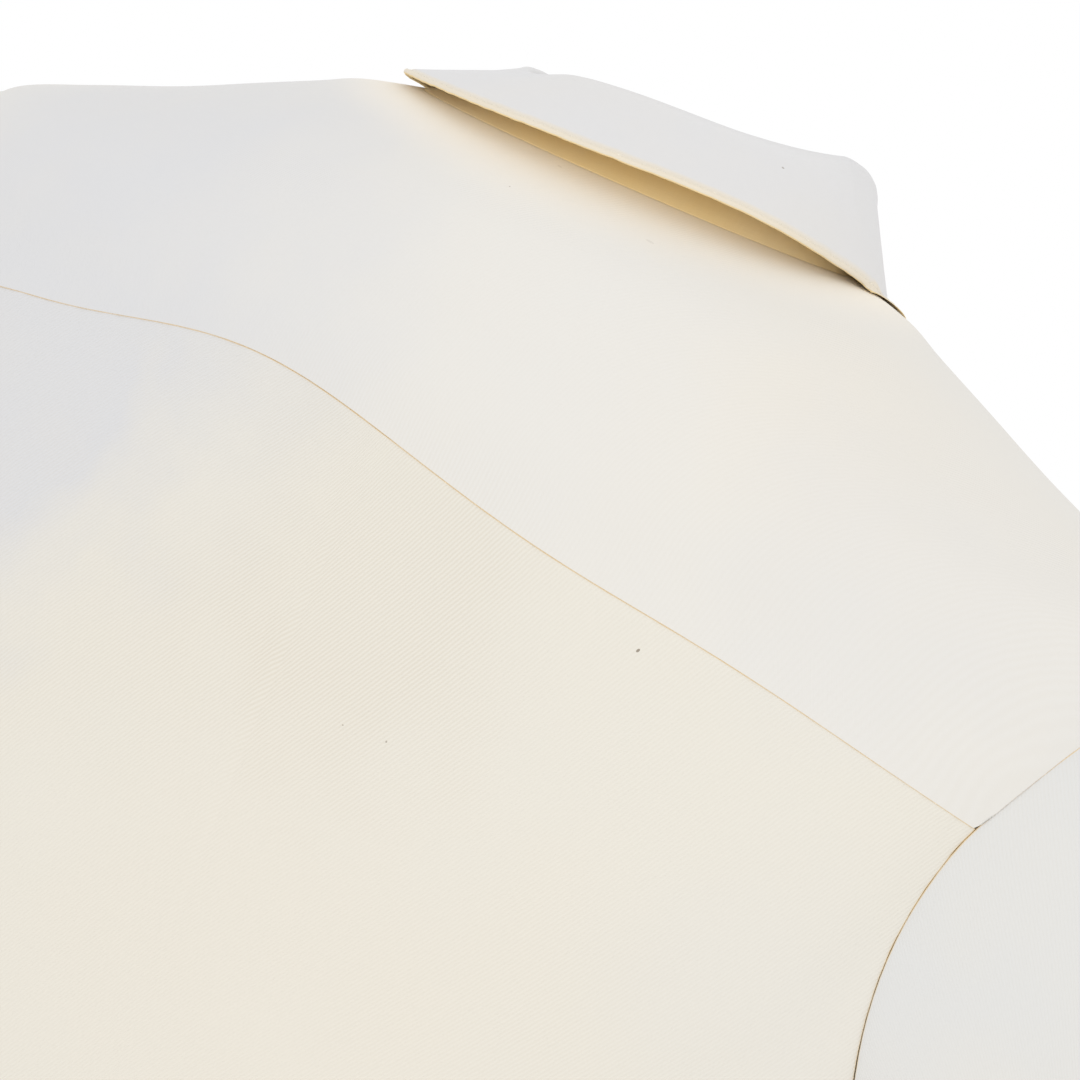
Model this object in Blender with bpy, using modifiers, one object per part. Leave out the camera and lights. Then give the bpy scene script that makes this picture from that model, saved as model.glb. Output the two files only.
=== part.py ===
"""A button-up shirt of heavy cotton drill, filled out and hollow, as its wearer would hold it.

Metres, Z up. The front faces -Y and the wearer's left is +X. The origin is the middle of the neck
opening, level with the points where the collar crosses the two shoulders.

The body of the shirt is one smooth surface, the form. A place on it is an angle round the body and a
height: 0 degrees is the left side, 90 the middle of the back, 180 the right side and 270 the middle
of the front. Each panel is a wall between four edges drawn on that surface, so that neighbours share
their seams.
"""

import math

import bmesh
import bpy
import numpy as np
from mathutils import Matrix

SHIRT = "button_up_shirt"

# Cloth
WALL = 0.0015
COLLAR_WALL = 0.0020
BAND_WALL = 0.0013
SEAM_GAP = 0.00022
LAID_GAP = 0.0004

# The body's outline, a row for each height
FORM = (
    dict(z=0.000, width=0.0700, back=0.050, front=0.034, middle=0.010, square=2.00),
    dict(z=-0.006, width=0.0940, back=0.061, front=0.039, middle=0.010, square=2.00),
    dict(z=-0.011, width=0.1050, back=0.069, front=0.043, middle=0.010, square=2.00),
    dict(z=-0.019, width=0.1235, back=0.079, front=0.048, middle=0.009, square=2.00),
    dict(z=-0.031, width=0.1515, back=0.088, front=0.054, middle=0.008, square=2.00),
    dict(z=-0.043, width=0.1840, back=0.094, front=0.060, middle=0.007, square=2.00),
    dict(z=-0.053, width=0.2090, back=0.097, front=0.064, middle=0.006, square=2.05),
    dict(z=-0.068, width=0.2180, back=0.101, front=0.069, middle=0.005, square=2.15),
    dict(z=-0.090, width=0.2210, back=0.104, front=0.077, middle=0.003, square=2.30),
    dict(z=-0.125, width=0.2185, back=0.109, front=0.091, middle=0.001, square=2.50),
    dict(z=-0.180, width=0.2190, back=0.113, front=0.107, middle=0.000, square=2.60),
    dict(z=-0.255, width=0.2220, back=0.113, front=0.121, middle=0.000, square=2.50),
    dict(z=-0.340, width=0.2230, back=0.111, front=0.125, middle=0.000, square=2.40),
    dict(z=-0.460, width=0.2220, back=0.107, front=0.123, middle=0.000, square=2.30),
    dict(z=-0.600, width=0.2260, back=0.112, front=0.123, middle=0.000, square=2.20),
    dict(z=-0.790, width=0.2320, back=0.118, front=0.126, middle=0.000, square=2.20),
)

# Soft folds of the body, from where each starts down to where it is full; out is towards the outside
BODY_FOLDS = (
    dict(angle=61, lean=14, width=8, start=-0.23, full=-0.62, out=-0.011),
    dict(angle=77, lean=-4, width=7, start=-0.40, full=-0.74, out=0.006),
    dict(angle=97, lean=6, width=8, start=-0.33, full=-0.70, out=-0.006),
    dict(angle=116, lean=-9, width=7, start=-0.21, full=-0.58, out=-0.009),
    dict(angle=134, lean=-16, width=6, start=-0.42, full=-0.72, out=0.007),
    dict(angle=28, lean=10, width=6, start=-0.38, full=-0.70, out=-0.007),
    dict(angle=158, lean=-8, width=6, start=-0.30, full=-0.66, out=-0.008),
    dict(angle=-38, lean=-12, width=7, start=-0.25, full=-0.60, out=-0.010),
    dict(angle=-63, lean=6, width=7, start=-0.36, full=-0.72, out=0.007),
    dict(angle=-119, lean=8, width=7, start=-0.24, full=-0.62, out=-0.009),
    dict(angle=-143, lean=12, width=7, start=-0.34, full=-0.70, out=-0.008),
    dict(angle=-160, lean=-6, width=5, start=-0.45, full=-0.74, out=0.006),
)

# Neckline
NECK_TOP = -0.0005
NECK_DROP = 0.068
NECK_DROP_POWER = 1.6

# Armhole, from the shoulder point down to the underarm
ARMHOLE_TOP = -0.053
ARMHOLE_LOW = -0.255
ARMHOLE_REACH_BACK = math.radians(38.5)
ARMHOLE_REACH_FRONT = math.radians(41)

# Seams of the yoke
YOKE_BACK_MIDDLE = -0.090
YOKE_BACK_CORNER = -0.114
YOKE_FRONT_CORNER = -0.088
YOKE_FRONT_AT_NECK = math.radians(25)
# The back seam isn't dead level: it lifts and dips a little, a row for each
YOKE_SEAM_WAVES = (
    dict(x=0.046, width=0.057, lift=0.0101),
    dict(x=-0.063, width=0.045, lift=-0.0023),
    dict(x=0.146, width=0.030, lift=0.0022),
)

# Hem, with the rounded tails of a shirt
HEM_BACK = -0.775
HEM_SIDE = -0.705
HEM_FRONT = -0.755
HEM_ROUND = 3.0

# Front opening: the left front lies over the right one
OVERLAP = 0.016
UNDER_FRONT_IN = WALL + LAID_GAP
BAND_WIDTH = 0.034
BAND_EDGE = BAND_WIDTH - OVERLAP
BAND_MIDDLE = (BAND_EDGE - OVERLAP) / 2
BAND_COLUMNS = 3

# Collar, from the right front (-1) round the middle of the back (0) to the left front (1). On the left
# shoulder it has sunk: its stand leans far in and its leaf lies almost on the yoke.
COLLAR = (
    dict(around=-1.20, stand=0.027, lean=5, leaf=0.066, flare=20, swing=48),
    dict(around=-0.95, stand=0.028, lean=5, leaf=0.064, flare=20, swing=42),
    dict(around=-0.80, stand=0.029, lean=9, leaf=0.051, flare=22, swing=18),
    dict(around=-0.62, stand=0.029, lean=20, leaf=0.043, flare=27, swing=8),
    dict(around=-0.45, stand=0.029, lean=34, leaf=0.037, flare=41, swing=6),
    dict(around=-0.25, stand=0.028, lean=42, leaf=0.039, flare=61, swing=3),
    dict(around=0.00, stand=0.028, lean=48, leaf=0.039, flare=63, swing=0),
    dict(around=0.12, stand=0.028, lean=53, leaf=0.039, flare=64, swing=2),
    dict(around=0.25, stand=0.028, lean=62, leaf=0.038, flare=68, swing=3),
    dict(around=0.40, stand=0.027, lean=64, leaf=0.037, flare=68, swing=6),
    dict(around=0.53, stand=0.027, lean=58, leaf=0.039, flare=61, swing=6),
    dict(around=0.64, stand=0.028, lean=34, leaf=0.043, flare=44, swing=8),
    dict(around=0.74, stand=0.029, lean=14, leaf=0.048, flare=29, swing=13),
    dict(around=0.84, stand=0.029, lean=7, leaf=0.054, flare=22, swing=24),
    dict(around=0.95, stand=0.028, lean=5, leaf=0.064, flare=20, swing=42),
    dict(around=1.20, stand=0.027, lean=5, leaf=0.066, flare=20, swing=48),
)
# The leaf's fold over the top of the stand: where its upper face is, out from the stand and above it,
# how many degrees it has turned, and how far it has become the flat leaf
LEAF_FOLD = (
    dict(share=0.00, out=-0.0020, rise=0.0000, turned=0, flat=0.0),
    dict(share=0.03, out=-0.0014, rise=0.0028, turned=40, flat=0.0),
    dict(share=0.07, out=0.0010, rise=0.0040, turned=98, flat=0.0),
    dict(share=0.12, out=0.0034, rise=0.0024, turned=150, flat=0.7),
    dict(share=0.22, out=0.0034, rise=0.0024, turned=165, flat=1.0),
    dict(share=1.00, out=0.0034, rise=0.0024, turned=165, flat=1.0),
)
FOLD_SHARE = 0.12
LEAF_SHARES = (0, 0.03, 0.07, 0.12, 0.22, 0.45, 0.72, 1.0)
LEAF_END = 0.975
LEAF_CLEARANCE = 0.0022
STAND_END = 1.088
STAND_LIFT = 0.0009
UNDER_STAND_IN = COLLAR_WALL + 2 * LAID_GAP
UNDER_STAND_FROM = 0.87
UNDER_STAND_EASE = 0.10

# Sleeve, a row for each ring from the armhole to the wrist: its outer and inner points and its depth
SLEEVE = (
    dict(ring=0, top_x=0.2090, top_z=-0.0530, low_x=0.2220, low_z=-0.2550, deep=0.062, y=0.004),
    dict(ring=1, top_x=0.2250, top_z=-0.0600, low_x=0.2275, low_z=-0.2600, deep=0.065, y=0.004),
    dict(ring=2, top_x=0.2440, top_z=-0.0710, low_x=0.2340, low_z=-0.2680, deep=0.067, y=0.003),
    dict(ring=3, top_x=0.2640, top_z=-0.0910, low_x=0.2400, low_z=-0.2820, deep=0.068, y=0.001),
    dict(ring=4, top_x=0.2860, top_z=-0.1240, low_x=0.2440, low_z=-0.3030, deep=0.068, y=-0.002),
    dict(ring=5, top_x=0.3080, top_z=-0.1720, low_x=0.2480, low_z=-0.3300, deep=0.067, y=-0.006),
    dict(ring=6, top_x=0.3270, top_z=-0.2280, low_x=0.2540, low_z=-0.3620, deep=0.065, y=-0.010),
    dict(ring=7, top_x=0.3430, top_z=-0.2860, low_x=0.2620, low_z=-0.3960, deep=0.063, y=-0.014),
    dict(ring=8, top_x=0.3560, top_z=-0.3440, low_x=0.2720, low_z=-0.4320, deep=0.061, y=-0.019),
    dict(ring=9, top_x=0.3670, top_z=-0.4000, low_x=0.2840, low_z=-0.4680, deep=0.059, y=-0.025),
    dict(ring=10, top_x=0.3750, top_z=-0.4540, low_x=0.2960, low_z=-0.5060, deep=0.056, y=-0.033),
    dict(ring=11, top_x=0.3800, top_z=-0.5060, low_x=0.3060, low_z=-0.5420, deep=0.052, y=-0.042),
    dict(ring=12, top_x=0.3820, top_z=-0.5500, low_x=0.3130, low_z=-0.5760, deep=0.047, y=-0.050),
    dict(ring=13, top_x=0.3800, top_z=-0.5830, low_x=0.3170, low_z=-0.6030, deep=0.041, y=-0.056),
    dict(ring=14, top_x=0.3760, top_z=-0.6060, low_x=0.3200, low_z=-0.6190, deep=0.0345, y=-0.059),
)
SLEEVE_RINGS = 14
SLEEVE_SQUARE = 2.2
ARMHOLE_BLEND = 3.0

# Creases of the sleeve: ring and angle of the middle, how the crease leans, and its depth
SLEEVE_FOLDS = (
    dict(ring=4.6, angle=150, lean=18, reach=0.9, width=44, out=-0.009),
    dict(ring=6.3, angle=214, lean=-20, reach=0.8, width=40, out=-0.008),
    dict(ring=8.1, angle=262, lean=16, reach=0.7, width=50, out=-0.010),
    dict(ring=9.2, angle=236, lean=-12, reach=0.6, width=44, out=0.006),
    dict(ring=9.9, angle=300, lean=14, reach=0.7, width=42, out=-0.008),
    dict(ring=11.6, angle=118, lean=10, reach=0.7, width=46, out=-0.006),
    dict(ring=12.6, angle=20, lean=-8, reach=0.6, width=36, out=-0.005),
    dict(ring=12.8, angle=250, lean=8, reach=0.5, width=34, out=0.004),
)

# Cuff and the placket that closes the sleeve's slit
CUFF_LENGTH = 0.066
CUFF_TAPER = 0.95
CUFF_LAP = math.radians(34)
CUFF_LAP_OUT = COLLAR_WALL + LAID_GAP
CUFF_LAP_ANGLE = math.radians(118)
SLIT_RINGS = 4
SLIT_FIRST = 9
SLIT_COLUMNS = 3

# Buttons
BUTTON_RADIUS = 0.0056
BUTTON_THICKNESS = 0.0026
BUTTON_RIM = 0.0005
BUTTON_STEPS = 14
BUTTON_GAP = 0.0007
COLLAR_BUTTON_GAP = 0.0008
COLLAR_BUTTON_TILT = 0.12
FRONT_BUTTONS = 7
FRONT_BUTTON_FIRST = -0.135
FRONT_BUTTON_PITCH = 0.089

# The height below which the body has its full width
SHOULDER_RING = -0.075

# How finely each length is divided
YOKE_FRONT_STEPS = 4
YOKE_BACK_STEPS = 6
ARM_BACK_STEPS = 8
ARM_FRONT_STEPS = 9
SEAM_STEPS = 20
NECK_FRONT_STEPS = 7
YOKE_FRONT_SEAM_STEPS = 7
SIDE_STEPS = 13
LEAF_STEPS = 40
STAND_LAP_STEPS = 2
STAND_ROWS = 4
CUFF_STEPS = 30
CUFF_ROWS = 4
CLEARLY_SHORTER = 0.93

COTTON = dict(name="cotton_drill", colour=(0.83, 0.80, 0.74), roughness=0.9)
HORN = dict(name="button_cream", colour=(0.80, 0.76, 0.68), roughness=0.35)

QUARTER = math.pi / 2
# Steps along a surface that give its outward direction: in metres, radians and rings
NORMAL_STEP = 0.002
NORMAL_TURN = 0.03
NORMAL_RING = 0.02


def column(rows, key, name, at):
    """A column of a table as a smooth curve through its rows."""
    rows = sorted(rows, key=lambda row: row[key])
    places = np.array([row[key] for row in rows], float)
    values = np.array([row[name] for row in rows], float)
    slopes = np.gradient(values, places)
    at = np.clip(np.asarray(at, float), places[0], places[-1])
    left = np.clip(np.searchsorted(places, at) - 1, 0, len(places) - 2)
    width = places[left + 1] - places[left]
    t = (at - places[left]) / width
    rise = (2 * t**3 - 3 * t**2 + 1) * values[left] + (3 * t**2 - 2 * t**3) * values[left + 1]
    turn = (t**3 - 2 * t**2 + t) * slopes[left] + (t**3 - t**2) * slopes[left + 1]
    return rise + width * turn


def smooth_step(value):
    """0 below 0, 1 above 1 and a soft rise between."""
    value = np.clip(value, 0.0, 1.0)
    return value * value * (3 - 2 * value)


def unit(vectors):
    return vectors / np.linalg.norm(vectors, axis=-1, keepdims=True)


def body_fold(angle, z):
    """How far the body's folds push the form out at each place."""
    total = np.zeros(np.broadcast(angle, z).shape)
    for fold in BODY_FOLDS:
        middle = math.radians(fold["angle"]) + math.radians(fold["lean"]) * (fold["start"] - z)
        away = (angle - middle + math.pi) % (2 * math.pi) - math.pi
        grown = smooth_step((fold["start"] - z) / (fold["start"] - fold["full"]))
        total = total + fold["out"] * grown * np.exp(-(away / math.radians(fold["width"])) ** 2)
    return total


def form_point(angle, z):
    """The point of the form at an angle round the body and a height."""
    angle = np.asarray(angle, float)
    z = np.asarray(z, float)
    power = 2 / column(FORM, "z", "square", z)
    across = np.cos(angle)
    along = np.sin(angle)
    depth = np.where(along >= 0, column(FORM, "z", "back", z), column(FORM, "z", "front", z))
    width = column(FORM, "z", "width", z)
    x = width * np.sign(across) * np.abs(across) ** power
    y = depth * np.sign(along) * np.abs(along) ** power
    outward = unit(np.stack([x / width**2, y / depth**2], -1))
    fold = body_fold(angle, z)
    x = x + outward[..., 0] * fold
    y = y + outward[..., 1] * fold + column(FORM, "z", "middle", z)
    return np.stack([x, y, z + 0 * x], -1)


def form_normal(angle, z):
    """The outward direction of the form at each place, from two short steps along it."""
    high = np.minimum(np.asarray(z) + NORMAL_STEP, 0.0)
    low = np.asarray(z) - NORMAL_STEP
    round_ring = form_point(angle + NORMAL_TURN, z) - form_point(angle - NORMAL_TURN, z)
    up_form = form_point(angle, high) - form_point(angle, low)
    return unit(np.cross(round_ring, up_form))


def back_angle(x, z):
    """The angle on the back of the form where it has that x at that height."""
    share = np.clip(np.abs(x) / column(FORM, "z", "width", z), 0, 1)
    turn = np.arccos(share ** (column(FORM, "z", "square", z) / 2))
    return np.where(np.asarray(x) < 0, math.pi - turn, turn)


def front_angle(x, z):
    """The same on the front of the form, as a negative angle."""
    return -back_angle(x, z)


def armhole(turn):
    """The left armhole at a turn from the shoulder point (0) to the underarm (pi), the back positive."""
    turn = np.asarray(turn, float)
    z = (ARMHOLE_TOP + ARMHOLE_LOW) / 2 + (ARMHOLE_TOP - ARMHOLE_LOW) / 2 * np.cos(turn)
    reach = np.where(turn >= 0, ARMHOLE_REACH_BACK, ARMHOLE_REACH_FRONT)
    return np.stack([reach * np.sin(turn), z], -1)


def armhole_turn(z):
    """The turn at which the armhole has that height."""
    return math.acos((z - (ARMHOLE_TOP + ARMHOLE_LOW) / 2) * 2 / (ARMHOLE_TOP - ARMHOLE_LOW))


def neckline(around):
    """The neckline on the left: -90 degrees is the middle of the back, 0 the shoulder, 90 the front."""
    around = np.asarray(around, float)
    z = NECK_TOP - NECK_DROP * np.abs(np.sin(np.maximum(around, 0))) ** NECK_DROP_POWER
    x = column(FORM, "z", "width", NECK_TOP) * np.cos(around)
    return np.stack([np.where(around <= 0, -around, front_angle(x, z)), z], -1)


def hem(angle):
    """The hem's height, low at the front and back and high at the sides."""
    low = np.where(np.sin(angle) >= 0, HEM_BACK, HEM_FRONT)
    return low + (HEM_SIDE - low) * np.abs(np.cos(angle)) ** HEM_ROUND


def mirrored(edge):
    """An edge of the left half as the same edge of the right half."""
    return np.stack([math.pi - edge[:, 0], edge[:, 1]], -1)


def back_yoke_seam():
    """The seam between yoke and back, from the left armhole to the right one."""
    corner = armhole(armhole_turn(YOKE_BACK_CORNER))
    corner_x = form_point(corner[0], corner[1])[0]
    x = np.linspace(corner_x, -corner_x, SEAM_STEPS + 1)
    share = x / corner_x
    z = YOKE_BACK_MIDDLE + (YOKE_BACK_CORNER - YOKE_BACK_MIDDLE) * share**2
    held = 1 - share**8
    for wave in YOKE_SEAM_WAVES:
        z = z + held * wave["lift"] * np.exp(-(((x - wave["x"]) / wave["width"]) ** 2))
    return np.stack([back_angle(x, z), z], -1)


def front_yoke_seam():
    """The seam between yoke and left front, from the neckline to the armhole."""
    start_angle, start_z = neckline(YOKE_FRONT_AT_NECK)
    end_angle, end_z = armhole(-armhole_turn(YOKE_FRONT_CORNER))
    start_x = form_point(start_angle, start_z)[0]
    end_x = form_point(end_angle, end_z)[0]
    x = np.linspace(start_x, end_x, YOKE_FRONT_SEAM_STEPS + 1)
    z = np.linspace(start_z, end_z, YOKE_FRONT_SEAM_STEPS + 1)
    return np.stack([front_angle(x, z), z], -1)


def armhole_part(first, last, steps):
    return armhole(np.linspace(first, last, steps + 1))


def chain(*edges):
    """Edges end to end, each shared point once."""
    joined = [edges[0]]
    for edge in edges[1:]:
        joined.append(edge[1:])
    return np.concatenate(joined)


def side_edge(arm_part):
    """A panel's side: down the armhole to the underarm, then down the side seam to the hem."""
    heights = np.linspace(ARMHOLE_LOW, HEM_SIDE, SIDE_STEPS + 1)
    return chain(arm_part, np.stack([np.zeros(SIDE_STEPS + 1), heights], -1))


def patch(first_row, last_row, first_column, last_column, fade=3):
    """A grid of places between four edges that meet at their ends.

    A high fade lets the shapes of the first and last rows die away quickly inside the panel.
    """
    down = np.linspace(0, 1, len(first_column))[:, None, None]
    across = np.linspace(0, 1, len(first_row))[None, :, None]
    between = (1 - across) * first_column[:, None] + across * last_column[:, None]
    high = first_row - ((1 - across[0]) * first_row[0] + across[0] * first_row[-1])
    low = last_row - ((1 - across[0]) * last_row[0] + across[0] * last_row[-1])
    return between + (1 - down) ** fade * high + down**fade * low


def draw_in(points, gap, ends=True):
    """The grid with its outer edges drawn in by the seam's gap."""
    points = points.copy()
    points[0] += unit(points[1] - points[0]) * gap
    points[-1] += unit(points[-2] - points[-1]) * gap
    if ends:
        points[:, 0] += unit(points[:, 1] - points[:, 0]) * gap
        points[:, -1] += unit(points[:, -2] - points[:, -1]) * gap
    return points


def grid_faces(points, closed, start, flip):
    """The triangles of a grid of points that is open, or closed round its columns.

    Each square is split along its first diagonal unless the other one is clearly shorter. A strip made
    from a panel's own points is split as the panel is, and so bends with it.
    """
    rows, columns = points.shape[:2]
    faces = []
    for row in range(rows - 1):
        for place in range(columns if closed else columns - 1):
            after = (place + 1) % columns
            corner = start + row * columns + place
            beside = start + row * columns + after
            under = start + (row + 1) * columns + place
            across = start + (row + 1) * columns + after
            first = np.linalg.norm(points[row, place] - points[row + 1, after])
            second = np.linalg.norm(points[row, after] - points[row + 1, place])
            if second < first * CLEARLY_SHORTER:
                halves = ([corner, beside, under], [beside, across, under])
            else:
                halves = ([corner, beside, across], [corner, across, under])
            faces += [half[::-1] if flip else half for half in halves]
    return faces


def rim_loop(rows, columns):
    """The vertices round the edge of an open grid, in order."""
    loop = list(range(columns))
    loop += [row * columns + columns - 1 for row in range(1, rows)]
    loop += [(rows - 1) * columns + place for place in range(columns - 2, -1, -1)]
    loop += [row * columns for row in range(rows - 2, 0, -1)]
    return loop


def wall(name, outer, inner, finish, closed=False):
    """A closed wall of cloth between an outer and an inner grid of points, as its own object."""
    rows, columns = outer.shape[:2]
    count = rows * columns
    faces = grid_faces(outer, closed, 0, False)
    faces += grid_faces(outer, closed, count, True)
    if closed:
        loops = [list(range(columns)), [(rows - 1) * columns + p for p in range(columns)][::-1]]
    else:
        loops = [rim_loop(rows, columns)]
    for loop in loops:
        for place, vertex in enumerate(loop):
            after = loop[(place + 1) % len(loop)]
            faces.append([after, vertex, vertex + count, after + count])
    points = np.concatenate([outer.reshape(-1, 3), inner.reshape(-1, 3)])
    mesh = bpy.data.meshes.new(name)
    mesh.from_pydata(points.tolist(), [], faces)
    return add_object(name, mesh, finish)


def add_object(name, mesh, finish):
    """Puts a mesh in the shirt's collection, with its faces out, smooth and in its own material."""
    sheet = bmesh.new()
    sheet.from_mesh(mesh)
    bmesh.ops.recalc_face_normals(sheet, faces=sheet.faces)
    sheet.to_mesh(mesh)
    sheet.free()
    mesh.shade_smooth()
    mesh.set_sharp_from_angle(angle=math.radians(40))
    mesh.materials.append(material(name, finish))
    thing = bpy.data.objects.new(name, mesh)
    bpy.data.collections[SHIRT].objects.link(thing)
    return thing


def material(name, finish):
    """A plain material for one piece."""
    made = bpy.data.materials.new(f"{finish['name']}_{name}")
    made.use_nodes = True
    shader = made.node_tree.nodes["Principled BSDF"]
    shader.inputs["Base Color"].default_value = (*finish["colour"], 1.0)
    shader.inputs["Roughness"].default_value = finish["roughness"]
    shader.inputs["Metallic"].default_value = 0.0
    return made


def panel(name, places, sink=0.0):
    """A panel of the body: a wall on the form, sunk under another panel where asked."""
    outside = form_normal(places[..., 0], places[..., 1])
    points = form_point(places[..., 0], places[..., 1])
    sunk = np.broadcast_to(np.asarray(sink, float), points.shape[:2])[..., None]
    outer = draw_in(points - outside * sunk, SEAM_GAP)
    inner = draw_in(points - outside * (sunk + WALL), SEAM_GAP)
    return wall(name, outer, inner, COTTON)


def straight_edge(x, steps):
    """A line straight down the left front at an x, from neckline to hem."""
    turn = math.acos(x / column(FORM, "z", "width", NECK_TOP))
    low_angle = front_angle(x, HEM_FRONT)
    z = np.linspace(neckline(turn)[1], hem(low_angle), steps + 1)
    return np.stack([front_angle(x, z), z], -1)


def spread_top(places):
    """Places of the front, those on the shoulder given the angle that their x has on the ring below it.

    The columns of a grid that is laid out in these angles run straight down over the shoulder.
    """
    angle, z = places[..., 0], places[..., 1]
    spread = front_angle(form_point(angle, z)[..., 0], np.minimum(z, SHOULDER_RING))
    return np.stack([np.where(z > SHOULDER_RING, spread, angle), z], -1)


def gather_top(places):
    """The reverse of spread_top."""
    angle, z = places[..., 0], places[..., 1]
    gathered = front_angle(form_point(angle, np.full(z.shape, SHOULDER_RING))[..., 0], z)
    return np.stack([np.where(z > SHOULDER_RING, gathered, angle), z], -1)


def front_places():
    """The left front's grid of places, from its neckline and yoke seam down to the hem.

    Its first columns run straight down beside the opening, and carry the band.
    """
    side = side_edge(armhole_part(-armhole_turn(YOKE_FRONT_CORNER), -math.pi, ARM_FRONT_STEPS))
    strip = [straight_edge(x, len(side) - 1) for x in np.linspace(-OVERLAP, BAND_EDGE, BAND_COLUMNS)]
    beside_band = math.acos(BAND_EDGE / column(FORM, "z", "width", NECK_TOP))
    neck = neckline(np.linspace(beside_band, YOKE_FRONT_AT_NECK, NECK_FRONT_STEPS + 1))
    top = chain(neck, front_yoke_seam())
    low_angles = np.linspace(strip[-1][-1, 0], 0, len(top))
    low = np.stack([low_angles, hem(low_angles)], -1)
    rest = patch(spread_top(top), low, spread_top(strip[-1]), spread_top(side))
    return np.concatenate([np.stack(strip[:-1], 1), gather_top(rest)], 1)


def make_fronts():
    """The two fronts. The right one is the left one turned over, sunk under it where they overlap."""
    places = front_places()
    panel("front_left", places)
    x = form_point(places[..., 0], places[..., 1])[..., 0]
    sink = UNDER_FRONT_IN * (1 - smooth_step((x - BAND_EDGE) / BAND_WIDTH))
    other = places.copy()
    other[..., 0] = math.pi - places[..., 0]
    panel("front_right", other[:, ::-1], sink[:, ::-1])
    make_front_band(places)


def make_back():
    """The back, from the yoke's seam to the hem."""
    seam = back_yoke_seam()
    left = side_edge(armhole_part(armhole_turn(YOKE_BACK_CORNER), math.pi, ARM_BACK_STEPS))
    low_angles = np.linspace(0, math.pi, len(seam))
    low = np.stack([low_angles, hem(low_angles)], -1)
    panel("back", patch(seam, low, left, mirrored(left)))


def make_yoke():
    """The yoke, one piece over both shoulders, from the neckline to the seams of fronts and back."""
    front_seam = front_yoke_seam()
    turn_front = armhole_turn(YOKE_FRONT_CORNER)
    turn_back = armhole_turn(YOKE_BACK_CORNER)
    arm = chain(
        armhole_part(-turn_front, 0, YOKE_FRONT_STEPS),
        armhole_part(0, turn_back, YOKE_BACK_STEPS),
    )
    outer = chain(arm, back_yoke_seam(), mirrored(arm)[::-1])
    left_neck_steps = (len(outer) - 1) // 2
    neck_left = neckline(np.linspace(YOKE_FRONT_AT_NECK, -QUARTER, left_neck_steps + 1))
    neck = chain(neck_left, mirrored(neck_left)[::-1])
    panel("yoke", patch(neck, outer, front_seam, mirrored(front_seam), fade=1))


def make_front_band(places):
    """The band down the left front that carries the buttonholes, made from the panel's first columns."""
    under = places[:, :BAND_COLUMNS]
    outside = form_normal(under[..., 0], under[..., 1])
    points = form_point(under[..., 0], under[..., 1])
    outer = draw_in(points + outside * (LAID_GAP + BAND_WALL), SEAM_GAP)
    inner = draw_in(points + outside * LAID_GAP, SEAM_GAP)
    wall("front_band", outer, inner, COTTON)


def make_buttons():
    """The buttons of the front, down the middle of the band."""
    for number in range(FRONT_BUTTONS):
        z = FRONT_BUTTON_FIRST - FRONT_BUTTON_PITCH * number
        angle = front_angle(BAND_MIDDLE, z)
        outside = form_normal(angle, z)
        point = form_point(angle, z) + outside * (LAID_GAP + BAND_WALL + BUTTON_GAP)
        make_button(f"button_front_{number + 1}", point, outside)


def make_button(name, point, outside):
    """A turned button: a disc with a rounded rim, its back at the point."""
    profile = (
        (0.0, BUTTON_THICKNESS - BUTTON_RIM),
        (BUTTON_RADIUS * 0.68, BUTTON_THICKNESS - BUTTON_RIM),
        (BUTTON_RADIUS * 0.84, BUTTON_THICKNESS),
        (BUTTON_RADIUS, BUTTON_THICKNESS * 0.6),
        (BUTTON_RADIUS * 0.9, BUTTON_RIM),
        (BUTTON_RADIUS * 0.7, 0.0),
        (0.0, 0.0),
    )
    mesh = bpy.data.meshes.new(name)
    turned = bmesh.new()
    corners = [turned.verts.new((radius, 0, height)) for radius, height in profile]
    for upper, lower in zip(corners, corners[1:]):
        turned.edges.new((upper, lower))
    turned.to_mesh(mesh)
    turned.free()
    thing = bpy.data.objects.new(name, mesh)
    bpy.data.collections[SHIRT].objects.link(thing)
    turn = thing.modifiers.new("turned", "SCREW")
    turn.steps = BUTTON_STEPS
    turn.render_steps = BUTTON_STEPS
    turn.use_merge_vertices = True
    turn.merge_threshold = 0.00001
    turn.use_smooth_shade = True
    mesh.materials.append(material(name, HORN))
    x_axis = unit(np.cross((0, 0, 1), outside))
    y_axis = np.cross(outside, x_axis)
    turned_by = Matrix(np.stack([x_axis, y_axis, outside], 1).tolist())
    thing.location = point.tolist()
    thing.rotation_euler = turned_by.to_euler()
    return thing


def collar_line(around):
    """A point on the neckline, the outward and forward directions there, and the row's share.

    around runs from 1 at the middle of the front, past the left shoulder, to 0 at the middle of the
    back and on to -1 at the front again.
    """
    side = np.where(around < 0, -1.0, 1.0)
    turn = (2 * np.abs(around) - 1) * QUARTER
    place = neckline(turn)
    point = form_point(place[..., 0], place[..., 1])
    outward = np.stack([np.cos(turn), -np.sin(turn), 0 * turn], -1)
    forward = np.stack([-np.sin(turn), -np.cos(turn), 0 * turn], -1)
    for vectors in (point, outward, forward):
        vectors[..., 0] *= side
    return point, outward, forward


def collar_up(around):
    """The direction in which the stand rises, leaning in over the neck."""
    lean = np.radians(column(COLLAR, "around", "lean", around))[..., None]
    outward = collar_line(around)[1]
    return np.cos(lean) * np.array([0, 0, 1.0]) - np.sin(lean) * outward


def stand_point(around, share):
    """A point of the collar stand's outer face, from the neckline (0) to its top (1)."""
    point = collar_line(around)[0]
    height = column(COLLAR, "around", "stand", around)[..., None]
    return point + collar_up(around) * (STAND_LIFT + share * height)


def leaf_stations():
    """Where the leaf's rows of points stand round the collar, from front to front."""
    return np.linspace(LEAF_END, -LEAF_END, LEAF_STEPS + 1)


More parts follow.
